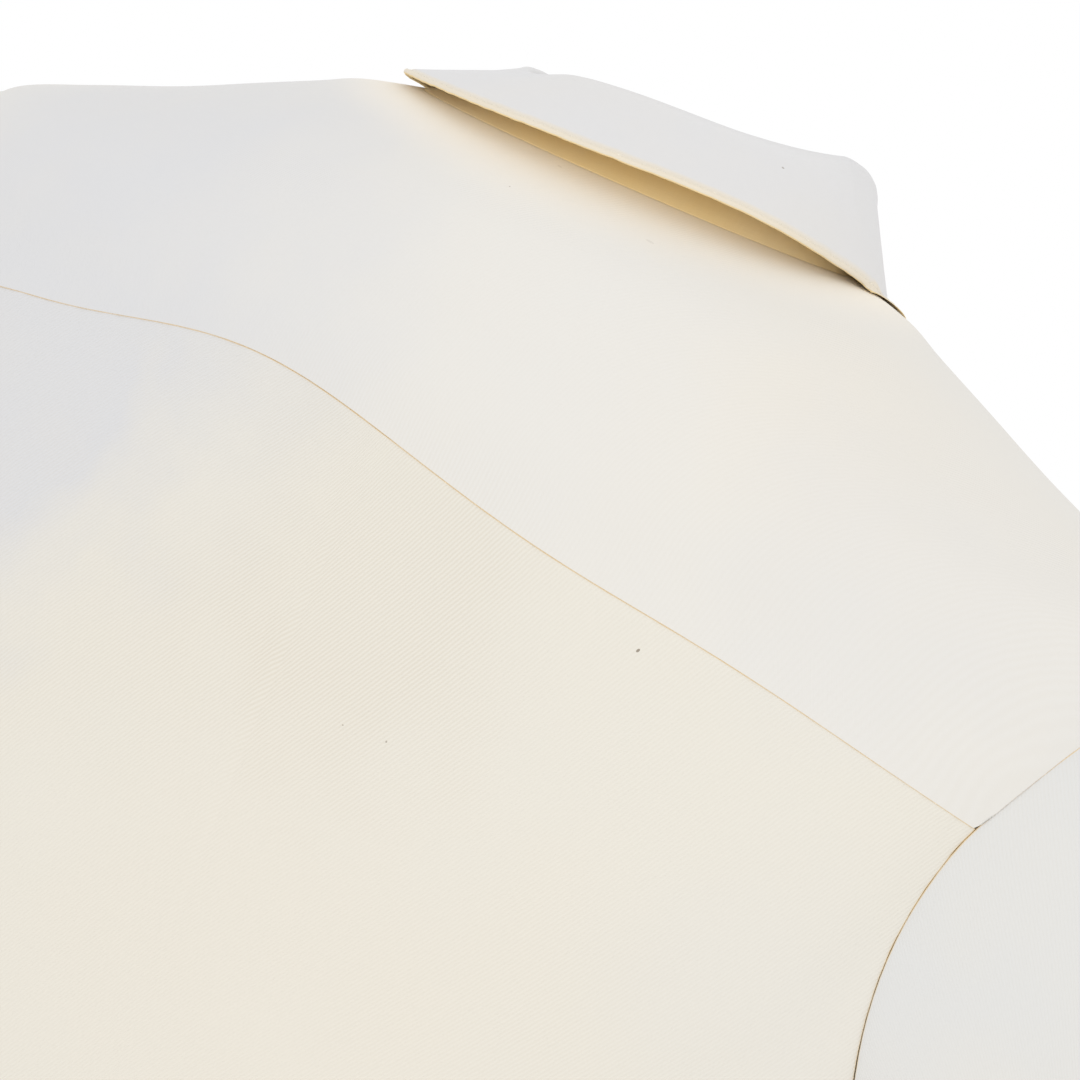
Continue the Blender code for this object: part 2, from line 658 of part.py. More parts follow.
def make_stand():
    """The collar stand, a band round the neck whose front ends lap over each other."""
    lap = np.linspace(STAND_END, LEAF_END, STAND_LAP_STEPS + 1)
    around = chain(lap, leaf_stations(), -lap[::-1])
    shares = np.linspace(0, 1, STAND_ROWS)
    grid_around = np.repeat(around[None], len(shares), 0)
    grid_share = np.repeat(shares[:, None, None], len(around), 1)
    under = UNDER_STAND_IN * (1 - smooth_step((grid_around + UNDER_STAND_FROM) / UNDER_STAND_EASE))
    outer = stand_point(grid_around, grid_share) - collar_line(grid_around)[1] * under[..., None]
    along = np.gradient(outer, axis=1)
    outside = unit(np.cross(along, collar_up(grid_around)))
    wall("collar_stand", outer, outer - outside * COLLAR_WALL, COTTON)


def clear_of_form(points, clearance):
    """The points moved straight out from the body's middle where they would come too near the form."""
    z = np.minimum(points[..., 2], 0)
    middle = column(FORM, "z", "middle", z)
    y = points[..., 1] - middle
    power = column(FORM, "z", "square", z)
    depth = np.where(y >= 0, column(FORM, "z", "back", z), column(FORM, "z", "front", z))
    width = column(FORM, "z", "width", z)
    size = ((np.abs(points[..., 0]) / width) ** power + (np.abs(y) / depth) ** power) ** (1 / power)
    far = np.hypot(points[..., 0], y)
    grow = np.where(points[..., 2] < 0, np.maximum(1, (1 + clearance / far) / size), 1)
    return np.stack([points[..., 0] * grow, middle + y * grow, points[..., 2]], -1)


def leaf_faces(around, share):
    """The leaf's upper and under faces, from the top of the stand (0) over the fold to its edge (1)."""
    outward, forward = collar_line(around)[1:]
    flare = np.radians(column(COLLAR, "around", "flare", around))[..., None]
    swing = np.radians(column(COLLAR, "around", "swing", around))[..., None]
    up = np.array([0, 0, 1.0])
    # At the front the leaf swings back towards the shoulder, which makes the collar's points
    level = np.cos(swing) * outward - np.sin(swing) * forward
    down = np.sin(flare) * level - np.cos(flare) * up
    length = column(COLLAR, "around", "leaf", around)[..., None]
    run = np.clip((share - FOLD_SHARE) / (1 - FOLD_SHARE), 0, 1) * length
    out = column(LEAF_FOLD, "share", "out", share)
    rise = column(LEAF_FOLD, "share", "rise", share)
    stand_up = collar_up(around)
    across = unit(outward - np.sum(outward * stand_up, -1, keepdims=True) * stand_up)
    upper = stand_point(around, 1.0) + stand_up * (LAID_GAP + rise) + across * out + down * run
    along = np.gradient(upper, axis=1)
    flat = unit(np.cross(down, along))
    # The wall's direction from the upper to the under face turns over the fold
    turned = np.radians(column(LEAF_FOLD, "share", "turned", share))
    flatness = column(LEAF_FOLD, "share", "flat", share)
    wall_way = (1 - flatness) * (np.cos(turned) * across - np.sin(turned) * stand_up) - flatness * flat
    under = upper + unit(wall_way) * COLLAR_WALL
    upper = clear_of_form(upper, LEAF_CLEARANCE + COLLAR_WALL)
    return upper, clear_of_form(under, LEAF_CLEARANCE)


def make_leaf():
    """The collar leaf, which folds over the top of the stand and stands off the yoke."""
    around = leaf_stations()
    grid_around = np.repeat(around[None], len(LEAF_SHARES), 0)
    grid_share = np.repeat(np.array(LEAF_SHARES)[:, None, None], len(around), 1)
    upper, under = leaf_faces(grid_around, grid_share)
    wall("collar_leaf", upper, under, COTTON)


def sleeve_fold(ring, turn):
    """How far the sleeve's creases push it out at each place."""
    total = np.zeros(np.broadcast(ring, turn).shape)
    for fold in SLEEVE_FOLDS:
        away = (turn - math.radians(fold["angle"]) + math.pi) % (2 * math.pi) - math.pi
        along = ring - fold["ring"] - away * fold["lean"] / 40
        total = total + fold["out"] * np.exp(
            -((along / fold["reach"]) ** 2) - (away / math.radians(fold["width"])) ** 2
        )
    return total


def sleeve_point(ring, turn):
    """A point of the left sleeve's outer face at a ring and a turn, 0 on top and the back positive."""
    values = {key: column(SLEEVE, "ring", key, ring) for key in SLEEVE[0] if key != "ring"}
    power = 2 / SLEEVE_SQUARE
    across = np.cos(turn)
    along = np.sin(turn)
    up_share = np.sign(across) * np.abs(across) ** power
    back_share = np.sign(along) * np.abs(along) ** power
    crease = sleeve_fold(ring, turn)
    top = np.stack([values["top_x"], values["top_z"]], -1)
    low = np.stack([values["low_x"], values["low_z"]], -1)
    middle = (top + low) / 2
    half = (top - low) / 2
    size = np.linalg.norm(half, axis=-1)
    grown = (1 + crease / size)[..., None]
    flat = middle + half * grown * up_share[..., None]
    y = values["y"] + (values["deep"] + crease) * back_share
    tube = np.stack([flat[..., 0], y, flat[..., 1]], -1)
    wrapped = (turn + math.pi) % (2 * math.pi) - math.pi
    place = armhole(wrapped)
    hole = form_point(place[..., 0], place[..., 1])
    share = (1 - smooth_step(ring / ARMHOLE_BLEND))[..., None]
    # Near the armhole the ring is the armhole's own shape, carried outward
    carried = hole + (middle_at(ring) - middle_at(0 * ring))
    return share * carried + (1 - share) * tube


def middle_at(ring):
    """The middle of a sleeve's ring."""
    top = np.stack([column(SLEEVE, "ring", "top_x", ring), column(SLEEVE, "ring", "top_z", ring)], -1)
    low = np.stack([column(SLEEVE, "ring", "low_x", ring), column(SLEEVE, "ring", "low_z", ring)], -1)
    middle = (top + low) / 2
    y = column(SLEEVE, "ring", "y", ring)
    return np.stack([middle[..., 0], y, middle[..., 1]], -1)


def sleeve_normal(ring, turn):
    """The outward direction of the sleeve, which is the form's own along the top of the armhole."""
    along = sleeve_point(ring + NORMAL_RING, turn) - sleeve_point(np.maximum(ring - NORMAL_RING, 0), turn)
    round_ring = sleeve_point(ring, turn + NORMAL_TURN) - sleeve_point(ring, turn - NORMAL_TURN)
    own = unit(np.cross(along, round_ring))
    wrapped = (turn + math.pi) % (2 * math.pi) - math.pi
    place = armhole(wrapped)
    share = ((1 + np.cos(turn)) / 2 * (1 - np.clip(ring, 0, 1)))[..., None]
    return unit(share * form_normal(place[..., 0], place[..., 1]) + (1 - share) * own)


def sleeve_turns():
    """The turns of the armhole's points, the same as on the panels round it."""
    back = armhole_turn(YOKE_BACK_CORNER)
    front = armhole_turn(YOKE_FRONT_CORNER)
    turns = chain(
        np.linspace(0, back, YOKE_BACK_STEPS + 1),
        np.linspace(back, math.pi, ARM_BACK_STEPS + 1),
        np.linspace(math.pi, 2 * math.pi - front, ARM_FRONT_STEPS + 1),
        np.linspace(2 * math.pi - front, 2 * math.pi, YOKE_FRONT_STEPS + 1),
    )
    return turns[:-1]


def both_sides(name, outer, inner, closed):
    """The left piece and its mirror image on the right."""
    wall(f"{name}_left", outer, inner, COTTON, closed)
    flip = np.array([-1.0, 1.0, 1.0])
    wall(f"{name}_right", (outer * flip)[:, ::-1], (inner * flip)[:, ::-1], COTTON, closed)


def sleeve_skins():
    """The outer and inner points of the left sleeve, ring by ring."""
    turns = sleeve_turns()
    rings = np.concatenate([[0, 0.5], np.arange(1, SLEEVE_RINGS + 1)])
    ring_grid = np.repeat(rings[:, None], len(turns), 1)
    turn_grid = np.repeat(turns[None], len(rings), 0)
    points = sleeve_point(ring_grid, turn_grid)
    outside = sleeve_normal(ring_grid, turn_grid)
    outer = draw_in(points, SEAM_GAP, ends=False)
    inner = draw_in(points - outside * WALL, SEAM_GAP, ends=False)
    return outer, inner


def make_sleeves():
    """The two sleeves, open tubes from the armhole to the cuff."""
    outer, inner = sleeve_skins()
    both_sides("sleeve", outer, inner, closed=True)


def wrist_frame():
    """The wrist: the middle of the sleeve's last ring and its three directions."""
    last = float(SLEEVE_RINGS)
    middle = middle_at(np.array(last))
    row = SLEEVE[-1]
    top = np.array([row["top_x"], row["y"], row["top_z"]])
    side = unit(top - middle)
    back = np.array([0, 1.0, 0])
    along = unit(middle_at(np.array(last)) - middle_at(np.array(last - 1)))
    down = np.cross(side, back)
    down = down if down @ along > 0 else -down
    return middle, side, back, down, np.linalg.norm(top - middle), row["deep"]


def cuff_point(turn, share, out=0.0):
    """A point of the left cuff's outer face, from the sleeve (0) to its free edge (1)."""
    middle, side, back, down, wide, deep = wrist_frame()
    power = 2 / SLEEVE_SQUARE
    across = np.sign(np.cos(turn)) * np.abs(np.cos(turn)) ** power
    along = np.sign(np.sin(turn)) * np.abs(np.sin(turn)) ** power
    size = 1 + (CUFF_TAPER - 1) * share
    sideways = (across * size * (wide + out))[..., None] * side
    backward = (along * size * (deep + out))[..., None] * back
    return middle + sideways + backward + down * (SEAM_GAP * 2 + share[..., None] * CUFF_LENGTH)


def make_cuffs():
    """The two cuffs, each a band whose end laps over its start at the outer back."""
    turns = CUFF_LAP_ANGLE + np.linspace(0, 2 * math.pi + CUFF_LAP, CUFF_STEPS + 1)
    lap = smooth_step((turns - CUFF_LAP_ANGLE - 2 * math.pi + CUFF_LAP) / CUFF_LAP)
    shares = np.linspace(0, 1, CUFF_ROWS)
    turn_grid = np.repeat(turns[None], len(shares), 0)
    share_grid = np.repeat(shares[:, None], len(turns), 1)
    out_grid = np.repeat((lap * CUFF_LAP_OUT)[None], len(shares), 0)
    outer = cuff_point(turn_grid, share_grid, out_grid)
    inner = cuff_point(turn_grid, share_grid, out_grid - COLLAR_WALL)
    both_sides("cuff", outer, inner, closed=False)


def placket_points():
    """The left sleeve's own points under its placket, and the outward direction at each."""
    outer, inner = sleeve_skins()
    points = outer[-SLIT_RINGS:, SLIT_FIRST : SLIT_FIRST + SLIT_COLUMNS]
    return points, unit(points - inner[-SLIT_RINGS:, SLIT_FIRST : SLIT_FIRST + SLIT_COLUMNS])


def make_sleeve_plackets():
    """The strip over the slit of each sleeve, made from the sleeve's points above the cuff."""
    points, outside = placket_points()
    low = draw_in(points + outside * LAID_GAP, SEAM_GAP)
    high = draw_in(points + outside * (LAID_GAP + BAND_WALL), SEAM_GAP)
    both_sides("sleeve_placket", high, low, closed=False)


def make_small_buttons():
    """The collar's button and those of the cuffs and sleeve plackets."""
    halfway = np.array(0.5)
    outside = unit(np.array([0.0, -1.0, COLLAR_BUTTON_TILT]))
    point = stand_point(np.array(1.0), halfway[None]) + outside * COLLAR_BUTTON_GAP
    make_button("button_collar", point, outside)
    middle, _, _, down, _, _ = wrist_frame()
    turn = np.array(CUFF_LAP_ANGLE + CUFF_LAP / 2)
    cuff = cuff_point(turn, halfway, CUFF_LAP_OUT + BUTTON_GAP)
    cuff_out = unit(cuff - (middle + down * halfway * CUFF_LENGTH))
    # The placket's button is halfway down its middle line
    points, outward = placket_points()
    between = slice(SLIT_RINGS // 2 - 1, SLIT_RINGS // 2 + 1)
    slit_out = unit(outward[between, SLIT_COLUMNS // 2].mean(0))
    slit = points[between, SLIT_COLUMNS // 2].mean(0) + slit_out * (LAID_GAP + BAND_WALL + BUTTON_GAP)
    for side, sign in (("left", 1.0), ("right", -1.0)):
        flip = np.array([sign, 1.0, 1.0])
        make_button(f"button_cuff_{side}", cuff * flip, cuff_out * flip)
        make_button(f"button_sleeve_{side}", slit * flip, slit_out * flip)


def clear_scene():
    """Starts from an empty scene with the shirt's own collection."""
    for thing in list(bpy.data.objects):
        bpy.data.objects.remove(thing)
    collection = bpy.data.collections.new(SHIRT)
    bpy.context.scene.collection.children.link(collection)


def main():
    clear_scene()
    make_back()
    make_yoke()
    make_fronts()
    make_stand()
    make_leaf()
    make_sleeves()
    make_cuffs()
    make_sleeve_plackets()
    make_buttons()
    make_small_buttons()


main()
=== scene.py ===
"""The cream drill shirt, dressed: fine cloth panels, seams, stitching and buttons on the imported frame."""

import math

import bpy
import numpy as np
from mathutils import Matrix, Vector


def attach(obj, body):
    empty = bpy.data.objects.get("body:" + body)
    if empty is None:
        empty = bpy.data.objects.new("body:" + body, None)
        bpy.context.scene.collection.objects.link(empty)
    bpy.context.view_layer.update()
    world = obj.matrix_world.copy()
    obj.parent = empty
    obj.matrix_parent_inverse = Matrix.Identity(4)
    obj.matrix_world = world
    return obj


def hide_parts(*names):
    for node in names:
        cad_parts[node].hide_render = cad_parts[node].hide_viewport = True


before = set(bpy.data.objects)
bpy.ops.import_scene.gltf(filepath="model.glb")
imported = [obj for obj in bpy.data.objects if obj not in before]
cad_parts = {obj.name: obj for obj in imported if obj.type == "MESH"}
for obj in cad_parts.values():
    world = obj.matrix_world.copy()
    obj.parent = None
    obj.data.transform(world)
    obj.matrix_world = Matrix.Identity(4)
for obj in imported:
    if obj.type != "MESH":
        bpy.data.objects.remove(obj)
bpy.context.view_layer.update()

QUARTER = math.pi / 2
BODY = "root"


def table(names, *rows):
    """Rows of numbers, each with its columns' names."""
    return [dict(zip(names.split(), row)) for row in rows]


# The part's own surface, repeated from its source in metres and degrees
FORM = table(
    "z width back front middle square",
    (0.000, 0.0700, 0.050, 0.034, 0.010, 2.00),
    (-0.006, 0.0940, 0.061, 0.039, 0.010, 2.00),
    (-0.011, 0.1050, 0.069, 0.043, 0.010, 2.00),
    (-0.019, 0.1235, 0.079, 0.048, 0.009, 2.00),
    (-0.031, 0.1515, 0.088, 0.054, 0.008, 2.00),
    (-0.043, 0.1840, 0.094, 0.060, 0.007, 2.00),
    (-0.053, 0.2090, 0.097, 0.064, 0.006, 2.05),
    (-0.068, 0.2180, 0.101, 0.069, 0.005, 2.15),
    (-0.090, 0.2210, 0.104, 0.077, 0.003, 2.30),
    (-0.125, 0.2185, 0.109, 0.091, 0.001, 2.50),
    (-0.180, 0.2190, 0.113, 0.107, 0.000, 2.60),
    (-0.255, 0.2220, 0.113, 0.121, 0.000, 2.50),
    (-0.340, 0.2230, 0.111, 0.125, 0.000, 2.40),
    (-0.460, 0.2220, 0.107, 0.123, 0.000, 2.30),
    (-0.600, 0.2260, 0.112, 0.123, 0.000, 2.20),
    (-0.790, 0.2320, 0.118, 0.126, 0.000, 2.20),
)
BODY_FOLDS = table(
    "angle lean width start full out",
    (61, 14, 8, -0.23, -0.62, -0.011),
    (77, -4, 7, -0.40, -0.74, 0.006),
    (97, 6, 8, -0.33, -0.70, -0.006),
    (116, -9, 7, -0.21, -0.58, -0.009),
    (134, -16, 6, -0.42, -0.72, 0.007),
    (28, 10, 6, -0.38, -0.70, -0.007),
    (158, -8, 6, -0.30, -0.66, -0.008),
    (-38, -12, 7, -0.25, -0.60, -0.010),
    (-63, 6, 7, -0.36, -0.72, 0.007),
    (-119, 8, 7, -0.24, -0.62, -0.009),
    (-143, 12, 7, -0.34, -0.70, -0.008),
    (-160, -6, 5, -0.45, -0.74, 0.006),
)
NECK_TOP = -0.0005
NECK_DROP = 0.068
NECK_DROP_POWER = 1.6
ARMHOLE_TOP = -0.053
ARMHOLE_LOW = -0.255
ARMHOLE_REACH_BACK = math.radians(38.5)
ARMHOLE_REACH_FRONT = math.radians(41)
YOKE_BACK_MIDDLE = -0.090
YOKE_BACK_CORNER = -0.114
YOKE_FRONT_CORNER = -0.088
YOKE_FRONT_AT_NECK = math.radians(25)
YOKE_SEAM_WAVES = table(
    "x width lift",
    (0.046, 0.057, 0.0101),
    (-0.063, 0.045, -0.0023),
    (0.146, 0.030, 0.0022),
)
HEM_BACK = -0.775
HEM_SIDE = -0.705
HEM_FRONT = -0.755
HEM_ROUND = 3.0
SHOULDER_RING = -0.075
OVERLAP = 0.016
BAND_WIDTH = 0.034
BAND_EDGE = BAND_WIDTH - OVERLAP
BAND_MIDDLE = (BAND_EDGE - OVERLAP) / 2
WALL = 0.0015
COLLAR_WALL = 0.0020
LAID_GAP = 0.0004
UNDER_FRONT_IN = WALL + LAID_GAP

COLLAR = table(
    "around stand lean leaf flare swing",
    (-1.20, 0.027, 5, 0.066, 20, 48),
    (-0.95, 0.028, 5, 0.064, 20, 42),
    (-0.80, 0.029, 9, 0.051, 22, 18),
    (-0.62, 0.029, 20, 0.043, 27, 8),
    (-0.45, 0.029, 34, 0.037, 41, 6),
    (-0.25, 0.028, 42, 0.039, 61, 3),
    (0.00, 0.028, 48, 0.039, 63, 0),
    (0.12, 0.028, 53, 0.039, 64, 2),
    (0.25, 0.028, 62, 0.038, 68, 3),
    (0.40, 0.027, 64, 0.037, 68, 6),
    (0.53, 0.027, 58, 0.039, 61, 6),
    (0.64, 0.028, 34, 0.043, 44, 8),
    (0.74, 0.029, 14, 0.048, 29, 13),
    (0.84, 0.029, 7, 0.054, 22, 24),
    (0.95, 0.028, 5, 0.064, 20, 42),
    (1.20, 0.027, 5, 0.066, 20, 48),
)
LEAF_FOLD = table(
    "share out rise turned flat",
    (0.00, -0.0020, 0.0000, 0, 0.0),
    (0.03, -0.0014, 0.0028, 40, 0.0),
    (0.07, 0.0010, 0.0040, 98, 0.0),
    (0.12, 0.0034, 0.0024, 150, 0.7),
    (0.22, 0.0034, 0.0024, 165, 1.0),
    (1.00, 0.0034, 0.0024, 165, 1.0),
)
FOLD_SHARE = 0.12
LEAF_END = 0.975
LEAF_CLEARANCE = 0.0022
STAND_END = 1.088
STAND_LIFT = 0.0009
UNDER_STAND_IN = COLLAR_WALL + 2 * LAID_GAP
UNDER_STAND_FROM = 0.87
UNDER_STAND_EASE = 0.10
# The share of its height by which the stand reaches down into the neckline's seam
STAND_TUCK = 0.07

SLEEVE = table(
    "ring top_x top_z low_x low_z deep y",
    (0, 0.2090, -0.0530, 0.2220, -0.2550, 0.062, 0.004),
    (1, 0.2250, -0.0600, 0.2275, -0.2600, 0.065, 0.004),
    (2, 0.2440, -0.0710, 0.2340, -0.2680, 0.067, 0.003),
    (3, 0.2640, -0.0910, 0.2400, -0.2820, 0.068, 0.001),
    (4, 0.2860, -0.1240, 0.2440, -0.3030, 0.068, -0.002),
    (5, 0.3080, -0.1720, 0.2480, -0.3300, 0.067, -0.006),
    (6, 0.3270, -0.2280, 0.2540, -0.3620, 0.065, -0.010),
    (7, 0.3430, -0.2860, 0.2620, -0.3960, 0.063, -0.014),
    (8, 0.3560, -0.3440, 0.2720, -0.4320, 0.061, -0.019),
    (9, 0.3670, -0.4000, 0.2840, -0.4680, 0.059, -0.025),
    (10, 0.3750, -0.4540, 0.2960, -0.5060, 0.056, -0.033),
    (11, 0.3800, -0.5060, 0.3060, -0.5420, 0.052, -0.042),
    (12, 0.3820, -0.5500, 0.3130, -0.5760, 0.047, -0.050),
    (13, 0.3800, -0.5830, 0.3170, -0.6030, 0.041, -0.056),
    (14, 0.3760, -0.6060, 0.3200, -0.6190, 0.0345, -0.059),
)
SLEEVE_FOLDS = table(
    "ring angle lean reach width out",
    (4.6, 150, 18, 0.9, 44, -0.009),
    (6.3, 214, -20, 0.8, 40, -0.008),
    (8.1, 262, 16, 0.7, 50, -0.010),
    (9.2, 236, -12, 0.6, 44, 0.006),
    (9.9, 300, 14, 0.7, 42, -0.008),
    (11.6, 118, 10, 0.7, 46, -0.006),
    (12.6, 20, -8, 0.6, 36, -0.005),
    (12.8, 250, 8, 0.5, 34, 0.004),
)
SLEEVE_RINGS = 14
SLEEVE_SQUARE = 2.2
ARMHOLE_BLEND = 3.0
CUFF_LENGTH = 0.066
CUFF_TAPER = 0.95
CUFF_LAP = math.radians(34)
CUFF_LAP_OUT = COLLAR_WALL + LAID_GAP
CUFF_LAP_ANGLE = math.radians(118)
CUFF_GAP = 0.00044
# The sleeve's slit in the solids: its first ring, and its place among the lines that run down the back
PLACKET_FIRST_RING = 11
PLACKET_TURNS = (9, 11)
YOKE_BACK_STEPS = 6
ARM_BACK_STEPS = 8
SLEEVE_SIDES = (("left", 1.0), ("right", -1.0))

# Metres round the body for each radian, as the creases measure them
GIRTH = 0.17
# Softer creases that only the dressed shirt has: where each lies on the body, its turn and its size
BODY_CREASES = table(
    "angle z turn length width out",
    (141, -0.150, 62, 0.050, 0.013, -0.0016),
    (150, -0.185, 48, 0.060, 0.012, -0.0022),
    (128, -0.215, 38, 0.075, 0.016, -0.0018),
    (40, -0.150, 118, 0.050, 0.013, -0.0015),
    (31, -0.190, 134, 0.060, 0.012, -0.0022),
    (55, -0.210, 146, 0.070, 0.016, -0.0017),
    (72, -0.128, 96, 0.032, 0.022, -0.0011),
    (104, -0.300, 80, 0.090, 0.018, 0.0016),
    (82, -0.430, 98, 0.100, 0.016, -0.0020),
    (120, -0.500, 70, 0.080, 0.014, 0.0018),
    (47, -0.520, 104, 0.090, 0.015, 0.0020),
    (-35, -0.180, 52, 0.060, 0.012, -0.0022),
    (-47, -0.235, 38, 0.070, 0.015, -0.0020),
    (-145, -0.175, 128, 0.060, 0.012, -0.0021),
    (-133, -0.240, 144, 0.070, 0.015, -0.0021),
    (-66, -0.420, 82, 0.090, 0.014, -0.0017),
    (-112, -0.520, 100, 0.090, 0.015, 0.0018),
    (139.7, -0.112, 155, 0.024, 0.010, -0.0012),
    (40, -0.110, 25, 0.024, 0.010, -0.0011),
)
SLEEVE_CREASES = table(
    "ring angle lean reach width out",
    (2.2, 125, 26, 0.32, 30, -0.0026),
    (3.3, 143, 30, 0.30, 34, -0.0030),
    (2.9, 236, -28, 0.32, 30, -0.0028),
    (5.4, 176, 14, 0.28, 30, 0.0024),
    (7.2, 205, -16, 0.26, 34, 0.0026),
    (7.7, 120, 22, 0.28, 26, -0.0022),
    (8.8, 70, -18, 0.30, 24, -0.0020),
    (10.7, 196, 12, 0.26, 30, -0.0026),
    (12.1, 300, -14, 0.24, 30, -0.0022),
    (13.3, 160, 0, 0.30, 22, -0.0018),
    (13.4, 60, 0, 0.30, 20, -0.0016),
)

# Cloth and sewing
CLOTH = 0.0008
COLLAR_CLOTH = 0.0015
BAND_CLOTH = 0.0010
PLACKET_CLOTH = 0.0009
PLACKET_RISE = 0.0016
# How high a sewn edge lies over its seam allowance, and how deep its neighbour runs in under it
SEAM_LIFT = 0.00042
SEAM_DIP = 0.00030
SEAM_DIP_WIDTH = 0.0009
# How much of the painted golden shade of the collar's underside shows along its rounded rim, and how far in
# from it
LEAF_RIM_SHADE = 0.38
LEAF_RIM_SHADE_WIDTH = 0.0027
# How far below the collar the yoke is painted a warmer and lighter cream, as painted bounce light where the
# collar's shade falls
NECK_BOUNCE_REACH = 0.034
# Distances from an edge at which every panel has a row of points
NEAR_EDGE = np.array([0.0, 0.00012, 0.0003, 0.0006, 0.0011, 0.0019, 0.003, 0.0044, 0.0055, 0.0066, 0.0085])
CELL = 0.0042
STITCH = 0.0026
STITCH_GAP = 0.0006
# The faces that close an end of a thread of six sides, by the numbers of its points
STITCH_ENDS = np.array([[0, 1, 2, 3], [0, 3, 4, 5]])
THREAD = 0.00019
BAND_COLUMNS = 16
# How far inside their edges the rows of stitches run
HEM_STITCHED = 0.0066
BAND_STITCHED = 0.0050
LEAF_STITCHED = 0.0021
CUFF_STITCHED = 0.0050
PLACKET_STITCHED = 0.0026
# The soft trough that each row of stitches draws in: how far inside the edge, how deep and how wide.
# A depth below zero makes a ridge
HEM_TROUGH = (0.0070, 0.00018, 0.0007)
BAND_TROUGH = (BAND_STITCHED, 0.00022, 0.0008)
LEAF_TROUGH = (LEAF_STITCHED, 0.00030, 0.00055)
LEAF_RIDGE = (0.0010, -0.00012, 0.0006)
CUFF_TROUGH = (CUFF_STITCHED, 0.00025, 0.0007)
PLACKET_TROUGH = (PLACKET_STITCHED, 0.0002, 0.0006)
# Small waves beside a seam: their height, their length, where they are highest and how far they reach
PUCKERS = 0.00016
HEM_PUCKERS = 0.0003
BAND_PUCKERS = 0.00012
LEAF_PUCKERS = 0.00014
CUFF_PUCKERS = 0.0002
SLEEVE_PUCKERS = 0.0003
PUCKER_WAVE = 0.011
PUCKER_PLACE = 0.002
PUCKER_REACH = 0.006
# A seam's allowance under the cloth: its width and the width of its soft end
ALLOWANCE = 0.0060
ALLOWANCE_END = 0.0016
# How soon a sewn edge turns down, and how far it sinks there
FOLD_ROUND = 0.0007
FOLD_SINKS = 0.0004
# The turn of the hem: how much thicker it makes the cloth, its width and the width of its soft end
HEM_THICKER = 0.0003
HEM_TURN = 0.0080
HEM_TURN_END = 0.0012
# The gathers at the wrist: their height, their length, how far they reach and where they begin
GATHERS = 0.0009
GATHER_WAVE = 0.014
GATHER_REACH = 0.022
GATHER_START = 0.004
# Metres round the sleeve for each radian, and how deep its two seams lie
ARM_GIRTH = 0.055
UNDER_ARM_DIP = 0.0005
SLEEVE_HEAD_DIP = 0.0002
# The yoke's map: how much longer it is across than a straight run, and how fast it lengthens away
# from the shoulder's top
YOKE_MAP_ACROSS = 1.06
YOKE_MAP_DOWN = 6
# How high the band's face lies, and the length and width of a buttonhole's stitching
BAND_TOP = LAID_GAP + 0.0011
BUTTONHOLE = 0.0170
BUTTONHOLE_APART = 0.0018
TWILL_PITCH = 0.00104
TWILL_LEAN = math.radians(57)
# How far the twill's lines wander, and how deep the weave is
TWILL_WANDER = 2.6
WEAVE_DEPTH = 0.00011
# How strongly painted shade darkens the twill's valleys, apart from the places below
TWILL_SHADE = (0.02, 0.16)
# How far from its fold a seam's painted golden shadow line reaches, and how much of it shows
SEAM_SHADOW_REACH = (0.00003, 0.00038)
SEAM_SHADOW_SHOWS = (0.35, 1.0)
# Cells of lint in a metre, the share of cells that are bare, and how large and dark its marks get
LINT_CELLS = 22.0
LINT_BARE = 0.62
LINT_SIZE = 0.055
LINT_DARK = 0.55

# Colours, linear
# Each piece's cream is the cloth's own cream, made lighter or darker per piece to stand in for the light on
# it: partly painted light and shade
BACK_CREAM = (0.762, 0.732, 0.660)
YOKE_CREAM = (0.750, 0.732, 0.697)
SLEEVE_CREAM = (0.700, 0.700, 0.690)
COLLAR_CREAM = (0.712, 0.710, 0.718)
# Painted bounce light: the yoke near the collar and on its inner skin
NECK_BOUNCE_CREAM = (0.930, 0.860, 0.740)
# The stand is painted golden brown as the shade in the gap under the leaf
STAND_SHADE_GOLD = (0.910, 0.730, 0.390)
# The leaf's underside is painted a golden shade, for the shade in the gap under it
LEAF_UNDERSIDE_SHADE = (0.850, 0.670, 0.360)
# Painted cool shade
COOL_SHADE = (0.672, 0.674, 0.688)
WARM = (0.785, 0.735, 0.645)
# Painted shadow line at the seams
SEAM_SHADOW_GOLD = (0.74, 0.52, 0.22)
# Painted shade in the twill's valleys
TWILL_VALLEY_SHADE = (0.60, 0.53, 0.42)
# Dark specks and lint, and the painted shade of the small wrinkles
SPECK_AND_SHADE = (0.22, 0.17, 0.12)
THREAD_COLOUR = (0.80, 0.755, 0.67)
THREAD_SHADE = (0.70, 0.62, 0.50)
BUTTON_COLOUR = (0.74, 0.68, 0.56)
BUTTON_SWIRL = (0.82, 0.78, 0.69)
FLOOR_COLOUR = (0.86, 0.86, 0.86)

FLOOR_HEIGHT = -0.90
FLOOR_RADIUS = 1.5
LIGHT_PLACE = (-0.7, 2.4, 0.5)
LIGHT_AIM = (0, 0, -0.15)
LIGHT_SIZE = 1.2
LIGHT_POWER = 9.0
LIGHT_COLOUR = (1.0, 0.985, 0.95)

# Broad places of painted cool shade and painted warm light: a point on the cloth and how far the tint reaches
PAINTED_SHADE_PLACES = table(
    "x y z reach share",
    (0.125, 0.090, -0.060, 0.150, 0.95),
    (0.110, 0.100, -0.130, 0.075, 0.80),
    (-0.140, 0.082, -0.058, 0.060, 0.25),
    (-0.170, 0.085, -0.180, 0.070, 0.15),
)
# Painted warm light: broad places where the cloth is made lighter and warmer
PAINTED_LIGHT_PLACES = table(
    "x y z reach share",
    (-0.042, 0.113, -0.240, 0.130, 0.45),
    (-0.114, 0.076, -0.039, 0.060, 0.30),
    (0.030, 0.112, -0.520, 0.170, 0.45),
)
# Stretches of the back where the painted shade in the twill's valleys is strongest
TWILL_PLACES = table(
    "x y z reach share",
    (-0.020, 0.110, -0.128, 0.075, 0.25),
    (0.045, 0.109, -0.165, 0.070, 0.12),
    (-0.080, 0.108, -0.200, 0.060, 0.04),
)
